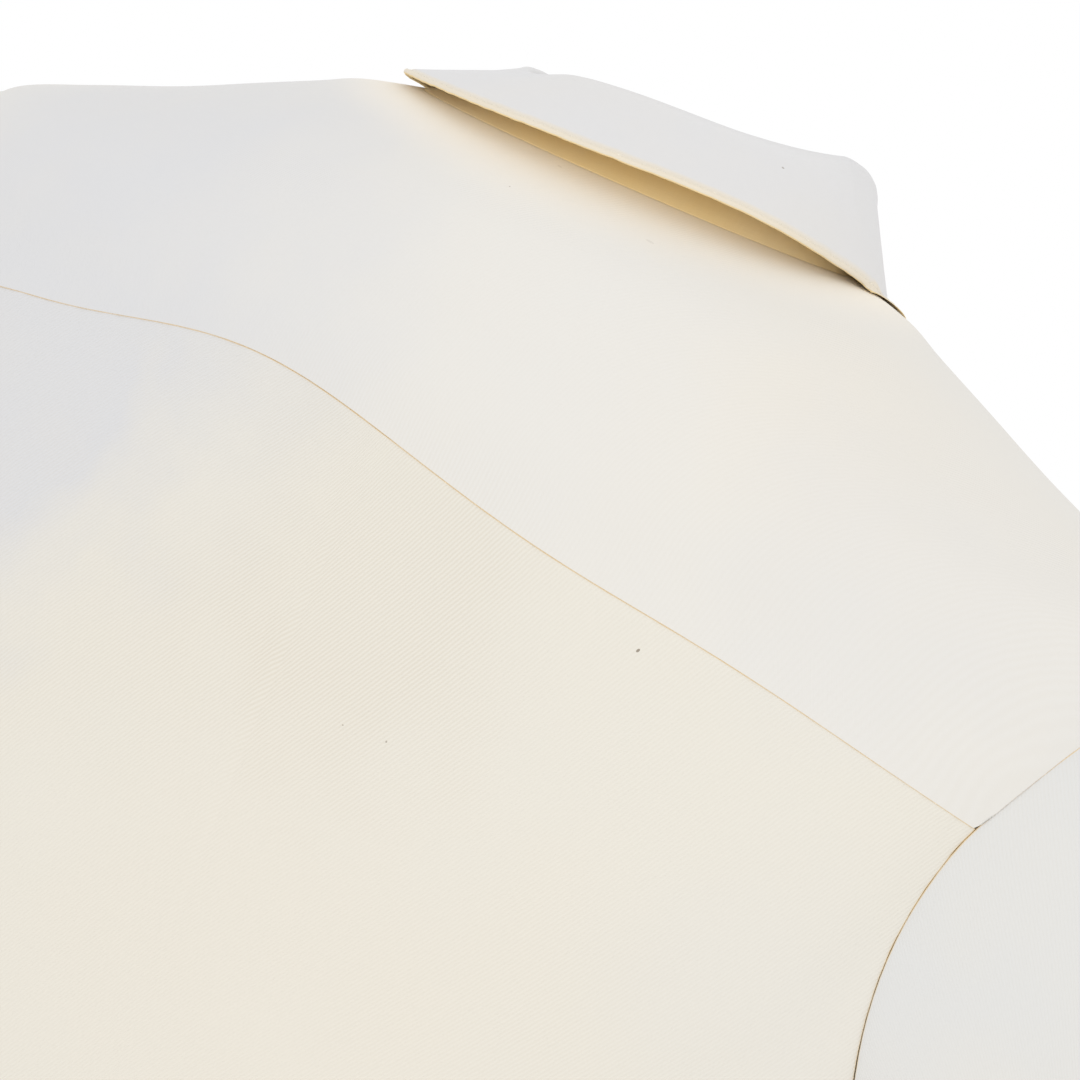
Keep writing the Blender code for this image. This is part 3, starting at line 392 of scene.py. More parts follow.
# Single specks, and small wrinkles drawn as thin lines of painted shade: a point, the way it runs, its length
# and its darkness
SPECKS_AND_WRINKLE_SHADE = table(
    "x y z turn length width share",
    (-0.0922, 0.1027, -0.1064, 62, 0.0010, 0.00016, 0.80),
    (-0.0500, 0.0349, 0.0205, 15, 0.0008, 0.00016, 0.60),
    (-0.0403, 0.1116, -0.1586, 80, 0.0004, 0.00018, 0.55),
    (-0.0268, 0.1120, -0.1604, 20, 0.0003, 0.00016, 0.45),
    (0.0037, 0.0812, -0.0127, 45, 0.0003, 0.00015, 0.45),
    (-0.1956, 0.0603, -0.0954, 70, 0.0005, 0.00018, 0.70),
    (-0.0006, 0.0656, -0.0030, -28, 0.0060, 0.00003, 0.12),
    (-0.0387, 0.0539, -0.0009, 70, 0.0034, 0.00003, 0.11),
    (-0.0380, 0.0741, -0.0109, 8, 0.0044, 0.00005, 0.12),
)

# The photograph's camera: where it looks from, its turn about its own axis, its shift from the middle
CAMERA_AZIMUTH = math.radians(202.47)
CAMERA_ELEVATION = math.radians(10.20)
CAMERA_ROLL = math.radians(23.12)
CAMERA_SIDE = -0.0334
CAMERA_RISE = -0.1068
CAMERA_DISTANCE = 0.8372
CAMERA_FOCUS = 2800
PHOTO_WIDTH = 1080
SENSOR = 36.0


def column(rows, key, name, at):
    """A column of a table as a smooth curve through its rows."""
    rows = sorted(rows, key=lambda row: row[key])
    places = np.array([row[key] for row in rows], float)
    values = np.array([row[name] for row in rows], float)
    slopes = np.gradient(values, places)
    at = np.clip(np.asarray(at, float), places[0], places[-1])
    left = np.clip(np.searchsorted(places, at) - 1, 0, len(places) - 2)
    width = places[left + 1] - places[left]
    t = (at - places[left]) / width
    rise = (2 * t**3 - 3 * t**2 + 1) * values[left] + (3 * t**2 - 2 * t**3) * values[left + 1]
    turn = (t**3 - 2 * t**2 + t) * slopes[left] + (t**3 - t**2) * slopes[left + 1]
    return rise + width * turn


def form(name, z):
    """A column of the body's table at a height."""
    return column(FORM, "z", name, z)


def collar(name, around):
    """A column of the collar's table at a place round the neck."""
    return column(COLLAR, "around", name, around)


def sleeve(name, ring):
    """A column of the sleeve's table at a place down the arm."""
    return column(SLEEVE, "ring", name, ring)


def smooth_step(value):
    value = np.clip(value, 0.0, 1.0)
    return value * value * (3 - 2 * value)


def unit(vectors):
    return vectors / np.maximum(np.linalg.norm(vectors, axis=-1, keepdims=True), 1e-12)


def around_zero(angle):
    return (angle + math.pi) % (2 * math.pi) - math.pi


def body_fold(angle, z):
    """How far folds and creases push the body's surface out."""
    total = np.zeros(np.broadcast(angle, z).shape)
    for fold in BODY_FOLDS:
        middle = math.radians(fold["angle"]) + math.radians(fold["lean"]) * (fold["start"] - z)
        away = around_zero(angle - middle)
        grown = smooth_step((fold["start"] - z) / (fold["start"] - fold["full"]))
        total = total + fold["out"] * grown * np.exp(-(away / math.radians(fold["width"])) ** 2)
    for crease in BODY_CREASES:
        side = around_zero(angle - math.radians(crease["angle"])) * GIRTH
        rise = z - crease["z"]
        turn = math.radians(crease["turn"])
        along = side * math.cos(turn) + rise * math.sin(turn)
        across = rise * math.cos(turn) - side * math.sin(turn)
        shape = np.exp(-((along / crease["length"]) ** 2) - (across / crease["width"]) ** 2)
        total = total + crease["out"] * shape
    return total


def squared(turn, power):
    """The shares of width and depth at a turn round a ring, which is a circle where the power is 1."""
    across, along = np.cos(turn), np.sin(turn)
    return np.sign(across) * np.abs(across) ** power, np.sign(along) * np.abs(along) ** power


def form_point(angle, z):
    """The point of the body's surface at an angle round it and a height."""
    angle = np.asarray(angle, float)
    z = np.asarray(z, float)
    across, along = squared(angle, 2 / form("square", z))
    depth = np.where(along >= 0, form("back", z), form("front", z))
    width = form("width", z)
    x = width * across
    y = depth * along
    outward = unit(np.stack([x / width**2, y / depth**2], -1))
    fold = body_fold(angle, z)
    x = x + outward[..., 0] * fold
    y = y + outward[..., 1] * fold + form("middle", z)
    return np.stack([x, y, z + 0 * x], -1)


def form_normal(angle, z):
    high = np.minimum(np.asarray(z) + 0.002, 0.0)
    low = np.asarray(z) - 0.002
    round_ring = form_point(angle + 0.03, z) - form_point(angle - 0.03, z)
    up_form = form_point(angle, high) - form_point(angle, low)
    return unit(np.cross(round_ring, up_form))


def back_angle(x, z):
    share = np.clip(np.abs(x) / form("width", z), 0, 1)
    turn = np.arccos(share ** (form("square", z) / 2))
    return np.where(np.asarray(x) < 0, math.pi - turn, turn)


def front_angle(x, z):
    return -back_angle(x, z)


def armhole(turn):
    turn = np.asarray(turn, float)
    z = (ARMHOLE_TOP + ARMHOLE_LOW) / 2 + (ARMHOLE_TOP - ARMHOLE_LOW) / 2 * np.cos(turn)
    reach = np.where(turn >= 0, ARMHOLE_REACH_BACK, ARMHOLE_REACH_FRONT)
    return np.stack([reach * np.sin(turn), z], -1)


def armhole_turn(z):
    return math.acos((z - (ARMHOLE_TOP + ARMHOLE_LOW) / 2) * 2 / (ARMHOLE_TOP - ARMHOLE_LOW))


def neckline(around):
    around = np.asarray(around, float)
    z = NECK_TOP - NECK_DROP * np.abs(np.sin(np.maximum(around, 0))) ** NECK_DROP_POWER
    x = form("width", NECK_TOP) * np.cos(around)
    return np.stack([np.where(around <= 0, -around, front_angle(x, z)), z], -1)


def hem(angle):
    low = np.where(np.sin(angle) >= 0, HEM_BACK, HEM_FRONT)
    return low + (HEM_SIDE - low) * np.abs(np.cos(angle)) ** HEM_ROUND


def mirrored(edge):
    return np.stack([math.pi - edge[:, 0], edge[:, 1]], -1)


def back_yoke_seam(steps):
    corner = armhole(armhole_turn(YOKE_BACK_CORNER))
    corner_x = form_point(corner[0], corner[1])[0]
    x = np.linspace(corner_x, -corner_x, steps + 1)
    share = x / corner_x
    z = YOKE_BACK_MIDDLE + (YOKE_BACK_CORNER - YOKE_BACK_MIDDLE) * share**2
    held = 1 - share**8
    for wave in YOKE_SEAM_WAVES:
        z = z + held * wave["lift"] * np.exp(-(((x - wave["x"]) / wave["width"]) ** 2))
    return np.stack([back_angle(x, z), z], -1)


def front_yoke_seam(steps):
    start_angle, start_z = neckline(YOKE_FRONT_AT_NECK)
    end_angle, end_z = armhole(-armhole_turn(YOKE_FRONT_CORNER))
    start_x = form_point(start_angle, start_z)[0]
    end_x = form_point(end_angle, end_z)[0]
    x = np.linspace(start_x, end_x, steps + 1)
    z = np.linspace(start_z, end_z, steps + 1)
    return np.stack([front_angle(x, z), z], -1)


def armhole_part(first, last, steps):
    return armhole(np.linspace(first, last, steps + 1))


def chain(*edges):
    joined = [edges[0]]
    for edge in edges[1:]:
        joined.append(edge[1:])
    return np.concatenate(joined)


def side_edge(arm_part, steps):
    heights = np.linspace(ARMHOLE_LOW, HEM_SIDE, steps + 1)
    return chain(arm_part, np.stack([np.zeros(steps + 1), heights], -1))


def patch(first_row, last_row, first_column, last_column, fade=3):
    down = np.linspace(0, 1, len(first_column))[:, None, None]
    across = np.linspace(0, 1, len(first_row))[None, :, None]
    between = (1 - across) * first_column[:, None] + across * last_column[:, None]
    high = first_row - ((1 - across[0]) * first_row[0] + across[0] * first_row[-1])
    low = last_row - ((1 - across[0]) * last_row[0] + across[0] * last_row[-1])
    return between + (1 - down) ** fade * high + down**fade * low


def spread_top(places):
    angle, z = places[..., 0], places[..., 1]
    spread = front_angle(form_point(angle, z)[..., 0], np.minimum(z, SHOULDER_RING))
    return np.stack([np.where(z > SHOULDER_RING, spread, angle), z], -1)


def gather_top(places):
    angle, z = places[..., 0], places[..., 1]
    gathered = front_angle(form_point(angle, np.full(z.shape, SHOULDER_RING))[..., 0], z)
    return np.stack([np.where(z > SHOULDER_RING, gathered, angle), z], -1)


def straight_edge(x, steps):
    turn = math.acos(x / form("width", NECK_TOP))
    low_angle = front_angle(x, HEM_FRONT)
    z = np.linspace(neckline(turn)[1], hem(low_angle), steps + 1)
    return np.stack([front_angle(x, z), z], -1)


# Laying points out evenly, with rows close to every edge


def lengths_along(points, axis):
    """The running length of each line of a grid of points."""
    steps = np.linalg.norm(np.diff(points, axis=axis), axis=-1)
    start_shape = list(steps.shape)
    start_shape[axis] = 1
    return np.concatenate([np.zeros(start_shape), np.cumsum(steps, axis)], axis)


def marks(total, count):
    """Distances along a line: close together at both ends, and even between."""
    middle = np.linspace(NEAR_EDGE[-1], total - NEAR_EDGE[-1], count + 2)[1:-1]
    return np.concatenate([NEAR_EDGE, middle, total - NEAR_EDGE[::-1]])


def respace(grid, to_points, axis, cell=CELL):
    """The grid with its lines along one axis marked out anew in real distances."""
    lengths = lengths_along(to_points(grid), axis)
    if axis == 0:
        lines, runs = np.swapaxes(grid, 0, 1), lengths.T
    else:
        lines, runs = grid, lengths
    count = max(2, int(round((runs[:, -1].max() - 2 * NEAR_EDGE[-1]) / cell)))
    made = []
    for line, run in zip(lines, runs):
        at = marks(run[-1], count)
        made.append(np.stack([np.interp(at, run, line[:, k]) for k in range(line.shape[1])], -1))
    made = np.array(made)
    return np.swapaxes(made, 0, 1) if axis == 0 else made


def respace_both(grid, to_points, down=CELL, across=CELL):
    """The grid marked out anew both ways."""
    return respace(respace(grid, to_points, 0, down), to_points, 1, across)


def cloth_map(points):
    """The map of a panel in metres: to the right along its rows and up along its columns."""
    return np.stack([lengths_along(points, 1), -lengths_along(points, 0)], -1)


def nearest(distances, at):
    """The place in a line of distances that comes nearest to one of them."""
    return np.argmin(np.abs(distances - at))


def edge_distance(points, edges):
    """How far each point of a grid is from the nearest of its named edges, along the grid's lines."""
    down = lengths_along(points, 0)
    over = lengths_along(points, 1)
    found = np.full(points.shape[:2], 1.0)
    choices = dict(first=down, last=down[-1:] - down, left=over, right=over[:, -1:] - over)
    for edge in edges:
        found = np.minimum(found, choices[edge])
    return found


def noise_along(length, wave, seed):
    """A gentle uneven line: a few sines of unlike lengths."""
    random = np.random.default_rng(seed)
    total = 0 * length
    for number in range(5):
        size = wave * (0.55 + 0.35 * number)
        total = total + np.sin(2 * math.pi * length / size + random.uniform(0, 6.28)) / (1 + 0.4 * number)
    return total / 2.2


def lapped(distance, height):
    """The relief of a sewn edge that lies over its seam allowance, with a soft step where that ends."""
    over = height * (1 - smooth_step((distance - ALLOWANCE) / ALLOWANCE_END))
    turn_down = np.sqrt(np.clip(1 - (1 - np.clip(distance / FOLD_ROUND, 0, 1)) ** 2, 0, 1))
    return over * turn_down - FOLD_SINKS * (1 - turn_down)


def trough(distance, at, depth, width):
    """The relief of a soft trough that runs beside an edge at a distance."""
    return -depth * np.exp(-(((distance - at) / width) ** 2))


def dipped(distance, depth=SEAM_DIP):
    """The relief of an edge that runs in under its neighbour's fold."""
    return trough(distance, 0, depth, SEAM_DIP_WIDTH)


def puckers(distance, along, seed, size=PUCKERS):
    """Small waves that the stitching draws up beside a seam."""
    near = np.exp(-(((distance - PUCKER_PLACE) / PUCKER_REACH) ** 2))
    return size * noise_along(along, PUCKER_WAVE, seed) * near


# Making meshes


def grid_quads(rows, columns, closed, start):
    """The faces of a grid of points, whose first point has the number start."""
    spans = columns if closed else columns - 1
    row, place = np.meshgrid(np.arange(rows - 1), np.arange(spans), indexing="ij")
    here = row * columns + place
    beside = row * columns + (place + 1) % columns
    quads = np.stack([here, beside, beside + columns, here + columns], -1)
    return start + quads.reshape(-1, 4)


def rim_vertices(rows, columns):
    """The numbers of the points round the rim of a grid, in turn."""
    loop = list(range(columns))
    loop += [row * columns + columns - 1 for row in range(1, rows)]
    loop += [(rows - 1) * columns + place for place in range(columns - 2, -1, -1)]
    loop += [row * columns for row in range(rows - 2, 0, -1)]
    return np.array(loop)


def build_mesh(name, vertices, quads, uv=None, edge=None, inside=None):
    """A mesh of quads with a cloth map in metres and each point's distance from its sewn edge."""
    mesh = bpy.data.meshes.new(name)
    mesh.vertices.add(len(vertices))
    mesh.vertices.foreach_set("co", np.asarray(vertices, np.float32).ravel())
    mesh.loops.add(quads.size)
    mesh.loops.foreach_set("vertex_index", quads.ravel().astype(np.int32))
    mesh.polygons.add(len(quads))
    mesh.polygons.foreach_set("loop_start", np.arange(0, quads.size, 4, dtype=np.int32))
    mesh.polygons.foreach_set("loop_total", np.full(len(quads), 4, np.int32))
    mesh.update(calc_edges=True)
    mesh.validate()
    if uv is not None:
        layer = mesh.uv_layers.new(name="cloth")
        order = np.zeros(len(mesh.loops), np.int32)
        mesh.loops.foreach_get("vertex_index", order)
        layer.data.foreach_set("uv", np.asarray(uv, np.float32)[order].ravel())
    for key, values in (("edge", edge), ("inside", inside)):
        if values is not None:
            attribute = mesh.attributes.new(key, "FLOAT", "POINT")
            attribute.data.foreach_set("value", np.asarray(values, np.float32).ravel())
    mesh.shade_smooth()
    return mesh


def middle_steps(grid):
    """The steps across and down in the middle of a grid."""
    row, place = grid.shape[0] // 2, grid.shape[1] // 2
    here = grid[row, place]
    return grid[row, place + 1] - here, grid[row + 1, place] - here


def cloth_piece(name, outer, inner, uv, edge, looks, closed=False, rim=0.0):
    """A closed sheet of cloth between an outer and an inner grid of points."""
    rows, columns = outer.shape[:2]
    count = rows * columns
    quads = [grid_quads(rows, columns, closed, 0), grid_quads(rows, columns, closed, count)[:, ::-1]]
    if closed:
        loops = [np.arange(columns), ((rows - 1) * columns + np.arange(columns))[::-1]]
    else:
        loops = [rim_vertices(rows, columns)]
    for loop in loops:
        after = np.roll(loop, -1)
        quads.append(np.stack([after, loop, loop + count, after + count], -1))
    quads = np.concatenate(quads)
    vertices = np.concatenate([outer.reshape(-1, 3), inner.reshape(-1, 3)])
    # A face in the middle tells which way round the faces run
    outward = (outer - inner)[rows // 2, columns // 2]
    facing = np.dot(np.cross(*middle_steps(outer)), outward)
    if facing < 0:
        quads = quads[:, ::-1]
    # The map runs to the right and up as seen from outside, so that the twill leans the same way
    over, under = middle_steps(uv)
    if (over[0] * under[1] - over[1] * under[0]) * facing < 0:
        uv = uv * np.array([-1.0, 1.0])
    flat_uv = np.concatenate([uv.reshape(-1, 2)] * 2)
    flat_edge = np.concatenate([edge.ravel()] * 2)
    shown = np.broadcast_to(np.asarray(rim, float), outer.shape[:2]).ravel()
    inside = np.concatenate([shown, np.ones(count)])
    mesh = build_mesh(name, vertices, quads, flat_uv, flat_edge, inside)
    return add_piece(name, mesh, looks)


def add_piece(name, mesh, looks):
    thing = bpy.data.objects.new(name, mesh)
    bpy.context.scene.collection.objects.link(thing)
    mesh.materials.append(looks)
    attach(thing, BODY)
    return thing


def dress(thing, node, flat, area, held="hung"):
    """The piece replaces its solid, which is hidden."""
    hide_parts(node)


def sheet_area(points):
    """The area of a grid of points."""
    over = points[:-1, 1:] - points[:-1, :-1]
    down = points[1:, :-1] - points[:-1, :-1]
    return float(np.linalg.norm(np.cross(over, down), axis=-1).sum())


def cut_size(points):
    """The width and length of the flat piece that a grid of points was cut from."""
    width = lengths_along(points, 1)[:, -1].max()
    length = lengths_along(points, 0)[-1].max()
    area = sheet_area(points)
    return (round(width, 3), round(length, 3)), round(min(area, width * length), 4)


# Materials


class Nodes:
    """A short way to lay out a material's nodes."""

    def __init__(self, name):
        self.material = bpy.data.materials.new(name)
        self.material.use_nodes = True
        self.tree = self.material.node_tree
        self.shader = self.tree.nodes["Principled BSDF"]

    def node(self, kind, inputs=None, **settings):
        made = self.tree.nodes.new(kind)
        for key, value in settings.items():
            setattr(made, key, value)
        for key, value in (inputs or {}).items():
            self.put(made.inputs[key], value)
        return made

    def put(self, socket, value):
        if isinstance(value, bpy.types.NodeSocket):
            self.tree.links.new(value, socket)
        else:
            socket.default_value = value

    def math(self, operation, first, second=0.0, clamp=False):
        made = self.node("ShaderNodeMath", {0: first, 1: second}, operation=operation, use_clamp=clamp)
        return made.outputs[0]

    def ramp(self, value, low, high):
        inputs = {"Value": value, "From Min": low, "From Max": high}
        return self.node("ShaderNodeMapRange", inputs, interpolation_type="SMOOTHSTEP").outputs[0]

    def mix(self, share, first, second):
        made = self.node("ShaderNodeMix", data_type="RGBA")
        self.put(made.inputs["Factor"], share)
        for socket, value in ((made.inputs[6], first), (made.inputs[7], second)):
            self.put(socket, (*value, 1.0) if isinstance(value, tuple) else value)
        return made.outputs[2]

    def noise(self, vector, scale, detail=3.0, roughness=0.55):
        inputs = {"Vector": vector, "Scale": scale, "Detail": detail, "Roughness": roughness}
        return self.node("ShaderNodeTexNoise", inputs).outputs[0]

    def yarn(self, vector, along, across):
        """Noise that is drawn out along one way of the map."""
        drawn = self.node("ShaderNodeMapping", {"Vector": vector, "Scale": (along, across, 1.0)})
        return self.noise(drawn.outputs[0], 1.0, 2.0)

    def spread(self, share, bounds):
        inputs = {"Value": share, "To Min": bounds[0], "To Max": bounds[1]}
        return self.node("ShaderNodeMapRange", inputs).outputs[0]

    def away(self, place, spot):
        inputs = {0: place, 1: tuple(spot)}
        return self.node("ShaderNodeVectorMath", inputs, operation="DISTANCE").outputs["Value"]

    def attribute(self, name):
        return self.node("ShaderNodeAttribute", attribute_name=name).outputs["Fac"]

    def bump(self, height, strength, distance):
        inputs = {"Height": height, "Strength": strength, "Distance": distance}
        return self.node("ShaderNodeBump", inputs).outputs[0]

    def finish(self, values):
        for name, value in values.items():
            self.put(self.shader.inputs[name], value)
        return self.material


def places_share(n, place, places):
    """How far a point lies within the broad places of a table, their borders made uneven."""
    total = 0.0
    rough = n.math("MULTIPLY", n.math("SUBTRACT", n.noise(place, 19.0, 3.0), 0.5), 0.08)
    for row in places:
        away = n.math("ADD", n.away(place, (row["x"], row["y"], row["z"])), rough)
        inside = n.math("SUBTRACT", 1.0, n.ramp(away, 0.15 * row["reach"], row["reach"]))
        total = n.math("ADD", n.math("MULTIPLY", inside, row["share"]), total, True)
    return total


def specks_and_wrinkle_shade(n, place):
    """How dark the single specks, and the small wrinkles painted as lines of shade, make a point: each is a
    slim ellipse between two close points.
    """
    total = 0.0
    for row in SPECKS_AND_WRINKLE_SHADE:
        turn = math.radians(row["turn"])
        middle = Vector((row["x"], row["y"], row["z"]))
        half = Vector((-math.cos(turn), 0.0, math.sin(turn))) * row["length"] / 2
        both = n.math("ADD", n.away(place, middle - half), n.away(place, middle + half))
        edge = row["length"] + row["width"]
        inside = n.math("SUBTRACT", 1.0, n.ramp(both, edge, edge + row["width"]))
        total = n.math("ADD", n.math("MULTIPLY", inside, row["share"]), total, True)
    return total


def wales(n, uv):
    """The ribs of the twill, from 0 in their valleys to 1 on top."""
    split = n.node("ShaderNodeSeparateXYZ", {0: uv}).outputs
    up_part = n.math("MULTIPLY", split[1], math.cos(TWILL_LEAN))
    across = n.math("SUBTRACT", up_part, n.math("MULTIPLY", split[0], math.sin(TWILL_LEAN)))
    phase = n.math("MULTIPLY", across, 2 * math.pi / TWILL_PITCH)
    phase = n.math("ADD", phase, n.math("MULTIPLY", n.noise(uv, 160.0, 2.0), TWILL_WANDER))
    wale = n.math("MULTIPLY_ADD", n.math("SINE", phase), 0.5)
    wale.node.inputs[2].default_value = 0.5
    return wale


def lint(n, place, colour):
    """Lint and slubs: a short dark mark in a few cells of the cloth."""
    turned = {"Vector": place, "Scale": (1.0, 1.0, 0.55), "Rotation": (0.3, 0.5, 0.0)}
    cells = n.node("ShaderNodeMapping", turned)
    cells = n.node("ShaderNodeTexVoronoi", {"Vector": cells.outputs[0], "Scale": LINT_CELLS}, feature="F1")
    chance = n.node("ShaderNodeSeparateColor", {0: cells.outputs["Color"]}).outputs
    reach = n.math("MULTIPLY", n.math("SUBTRACT", chance[0], LINT_BARE, True), LINT_SIZE)
    mark = n.math("GREATER_THAN", reach, cells.outputs["Distance"])
    return n.mix(n.math("MULTIPLY", mark, n.math("MULTIPLY", chance[1], LINT_DARK)), colour, SPECK_AND_SHADE)


def drill(name, cream, twill=1.0, below=None):
    """Cream cotton drill: a right-hand twill with painted shade in its valleys, slubs, soft shifts of colour
    with painted light and shade in places, specks and lint, small wrinkles painted as lines of shade, painted
    bounce light and shade under the collar, and a painted golden shadow line along the seams.
    """
    n = Nodes(name)
    uv = n.node("ShaderNodeUVMap", uv_map="cloth").outputs[0]
    place = n.node("ShaderNodeTexCoord").outputs["Object"]
    wale = wales(n, uv)
    yarns = n.math("MULTIPLY", n.math("ADD", n.yarn(uv, 1500.0, 130.0), n.yarn(uv, 150.0, 1700.0)), 0.5)
    height = n.math("ADD", n.math("MULTIPLY", wale, 0.75 * twill), n.math("MULTIPLY", yarns, 0.6))
    # Broad, faint shifts between a warmer and a cooler cream, then painted warm light and painted cool shade
    # in the places of their tables
    cloudy = n.ramp(n.noise(place, 8.0, 3.0, 0.5), 0.35, 0.70)
    colour = n.mix(n.math("MULTIPLY", cloudy, 0.22), cream, WARM)
    colour = n.mix(places_share(n, place, PAINTED_LIGHT_PLACES), colour, WARM)
    colour = n.mix(places_share(n, place, PAINTED_SHADE_PLACES), colour, COOL_SHADE)
    mottled = n.ramp(n.noise(place, 42.0, 4.0, 0.6), 0.30, 0.75)
    colour = n.mix(n.math("MULTIPLY", mottled, 0.07), colour, WARM)
    # Painted shade darkens the twill's valleys, more in some stretches of the cloth than in others
    shade = n.spread(n.noise(place, 13.0, 2.0), TWILL_SHADE)
    shows = n.math("ADD", shade, places_share(n, place, TWILL_PLACES))
    valley_shade = n.math("MULTIPLY", n.math("SUBTRACT", 1.0, wale), n.math("MULTIPLY", shows, twill))
    colour = n.mix(valley_shade, colour, TWILL_VALLEY_SHADE)
    # Painted bounce light and shade: the yoke's lighter cream near the collar and inside, and the leaf's
    # golden shade underneath and along its rim
    if below:
        colour = n.mix(n.attribute("inside"), colour, below)
    colour = lint(n, place, colour)
    # Specks, and small wrinkles as lines of painted shade
    colour = n.mix(specks_and_wrinkle_shade(n, place), colour, SPECK_AND_SHADE)
    # A painted golden shadow line right at each seam's fold
    in_seam_shadow = n.math("SUBTRACT", 1.0, n.ramp(n.attribute("edge"), *SEAM_SHADOW_REACH))
    colour = n.mix(n.math("MULTIPLY", in_seam_shadow, n.spread(n.noise(place, 95.0), SEAM_SHADOW_SHOWS)), colour, SEAM_SHADOW_GOLD)
    looks = {"Base Color": colour, "Normal": n.bump(height, 0.7, WEAVE_DEPTH), "Roughness": 0.92}
    looks.update({"Specular IOR Level": 0.25, "Sheen Weight": 0.12, "Sheen Roughness": 0.5})
    return n.finish(looks)


def thread_looks():
    """Cotton sewing thread with a fine twist."""
    n = Nodes("sewing_thread")
    place = n.node("ShaderNodeTexCoord").outputs["Object"]
    colour = n.mix(n.math("MULTIPLY", n.noise(place, 60.0), 0.35), THREAD_COLOUR, THREAD_SHADE)
    twist = n.bump(n.noise(place, 2600.0, 2.0), 0.5, 0.0001)
    return n.finish({"Base Color": colour, "Normal": twist, "Roughness": 0.75})


def button_looks():
    """A cream button with faint cloudy swirls and a soft gloss."""
    n = Nodes("cream_button")
    place = n.node("ShaderNodeTexCoord").outputs["Object"]
    swirl = n.ramp(n.noise(place, 260.0, 4.0, 0.65), 0.35, 0.70)
    colour = n.mix(n.math("MULTIPLY", swirl, 0.6), BUTTON_COLOUR, BUTTON_SWIRL)
    rough = n.spread(n.noise(place, 900.0), (0.26, 0.42))
    return n.finish({"Base Color": colour, "Roughness": rough, "Coat Weight": 0.25})


# The body's panels


def ring_table():
    """Running length round the body, and down its back, for the cloth's map."""
    angles = np.linspace(-math.pi, 1.5 * math.pi, 1201)
    ring = form_point(angles, np.full(angles.shape, -0.20))
    round_length = lengths_along(ring[None], 1)[0]
    heights = np.linspace(0, -0.80, 401)
    back = form_point(np.full(heights.shape, QUARTER), heights)
    down_length = lengths_along(back[None], 1)[0]
    return angles, round_length, -heights, down_length


ANGLES, ROUND_LENGTH, DEPTHS, DOWN_LENGTH = ring_table()


def body_uv(places):
    u = np.interp(places[..., 0], ANGLES, ROUND_LENGTH)
    v = -np.interp(-places[..., 1], DEPTHS, DOWN_LENGTH)
    return np.stack([u, v], -1)


def on_form(places):
    return form_point(places[..., 0], places[..., 1])


def form_normals(places):
    return form_normal(places[..., 0], places[..., 1])


def raised(points, normals, relief):
    """The outer and inner points of cloth with that relief on the body's surface."""
    outer = points + normals * relief[..., None]
    return outer, outer - normals * CLOTH


def make_back(looks, thread):
    seam = back_yoke_seam(240)
    arm = armhole_part(armhole_turn(YOKE_BACK_CORNER), math.pi, 90)
    left = side_edge(arm, 170)
    low_angles = np.linspace(0, math.pi, len(seam))
    low = np.stack([low_angles, hem(low_angles)], -1)
    places = respace_both(patch(seam, low, left, mirrored(left)), on_form)
    points, normals = on_form(places), form_normals(places)
    top = edge_distance(points, ["first"])
    sides = edge_distance(points, ["left", "right"])
    bottom = edge_distance(points, ["last"])
    across = places[..., 0] * GIRTH
    relief = dipped(top) + puckers(top, across, 3) + dipped(sides) + puckers(sides, places[..., 1], 5)
    outer, inner = raised(points, normals, relief + hem_relief(bottom, across, 7))
    outer, inner = round_edges(outer, inner, bottom, CLOTH)
    piece = cloth_piece("back_panel", outer, inner, body_uv(places), np.minimum(top, sides), looks)
    dress(piece, "back", *cut_size(points))
    sew_hem("back_hem_stitches", outer, normals, bottom, thread)


def sew_hem(name, points, normals, distance, thread):
    """A row of stitches along a panel's turned hem."""
    row = nearest(distance[:, distance.shape[1] // 2], HEM_STITCHED)
    add_stitches(name, [(points[row, 6:-6], normals[row, 6:-6])], thread)


def hem_relief(distance, along, seed):
    """A narrow turned hem: a little thicker than the cloth above it, and drawn in along its stitches."""
    turned = HEM_THICKER * (1 - smooth_step((distance - HEM_TURN) / HEM_TURN_END))
    return turned + trough(distance, *HEM_TROUGH) + puckers(distance, along, seed, HEM_PUCKERS)


def round_edges(outer, inner, distance, thick):
    """Rounds a folded edge: both skins close in on their middle over the last stretch."""
    middle = (outer + inner) / 2
    share = np.clip(distance / (thick / 2), 0, 1)
    open_by = np.maximum(np.sqrt(1 - (1 - share) ** 2), 0.12)[..., None]
    return middle + (outer - middle) * open_by, middle + (inner - middle) * open_by


def make_yoke(looks):
    front = front_yoke_seam(60)
    turn_front = armhole_turn(YOKE_FRONT_CORNER)
    turn_back = armhole_turn(YOKE_BACK_CORNER)
    arm = chain(armhole_part(-turn_front, 0, 40), armhole_part(0, turn_back, 60))
    outer_edge = chain(arm, back_yoke_seam(200), mirrored(arm)[::-1])
    half = (len(outer_edge) - 1) // 2
    neck_left = neckline(np.linspace(YOKE_FRONT_AT_NECK, -QUARTER, half + 1))
    neck = chain(neck_left, mirrored(neck_left)[::-1])
    places = respace(patch(neck, outer_edge, front, mirrored(front), fade=1), on_form, 0)
    points, normals = on_form(places), form_normals(places)
    outside = edge_distance(points, ["last"])
    fronts = edge_distance(points, ["left", "right"])
    neck_edge = edge_distance(points, ["first"])
    # The body lies over the sleeve's seam as the yoke lies over the back's
    relief = lapped(outside, SEAM_LIFT) + puckers(outside, lengths_along(points, 1)[-1:], 11)
    relief = np.minimum(relief, lapped(fronts, SEAM_LIFT)) + dipped(neck_edge)
    outer, inner = raised(points, normals, relief)
    # The map runs straight across the shoulders, and down the back in nearly real lengths
    run = points[..., 1] * (1 + YOKE_MAP_DOWN * np.abs(points[..., 1]))
    uv = np.stack([-points[..., 0] * YOKE_MAP_ACROSS, -run], -1)
    # Painted warm bounce light on the yoke just below the collar, where the collar's shade falls; the inner
    # skin takes it in full
    warm = 1 - smooth_step(neck_edge / NECK_BOUNCE_REACH)
    piece = cloth_piece("yoke_panel", outer, inner, uv, np.minimum(outside, fronts), looks, rim=warm)
    dress(piece, "yoke", *cut_size(points))


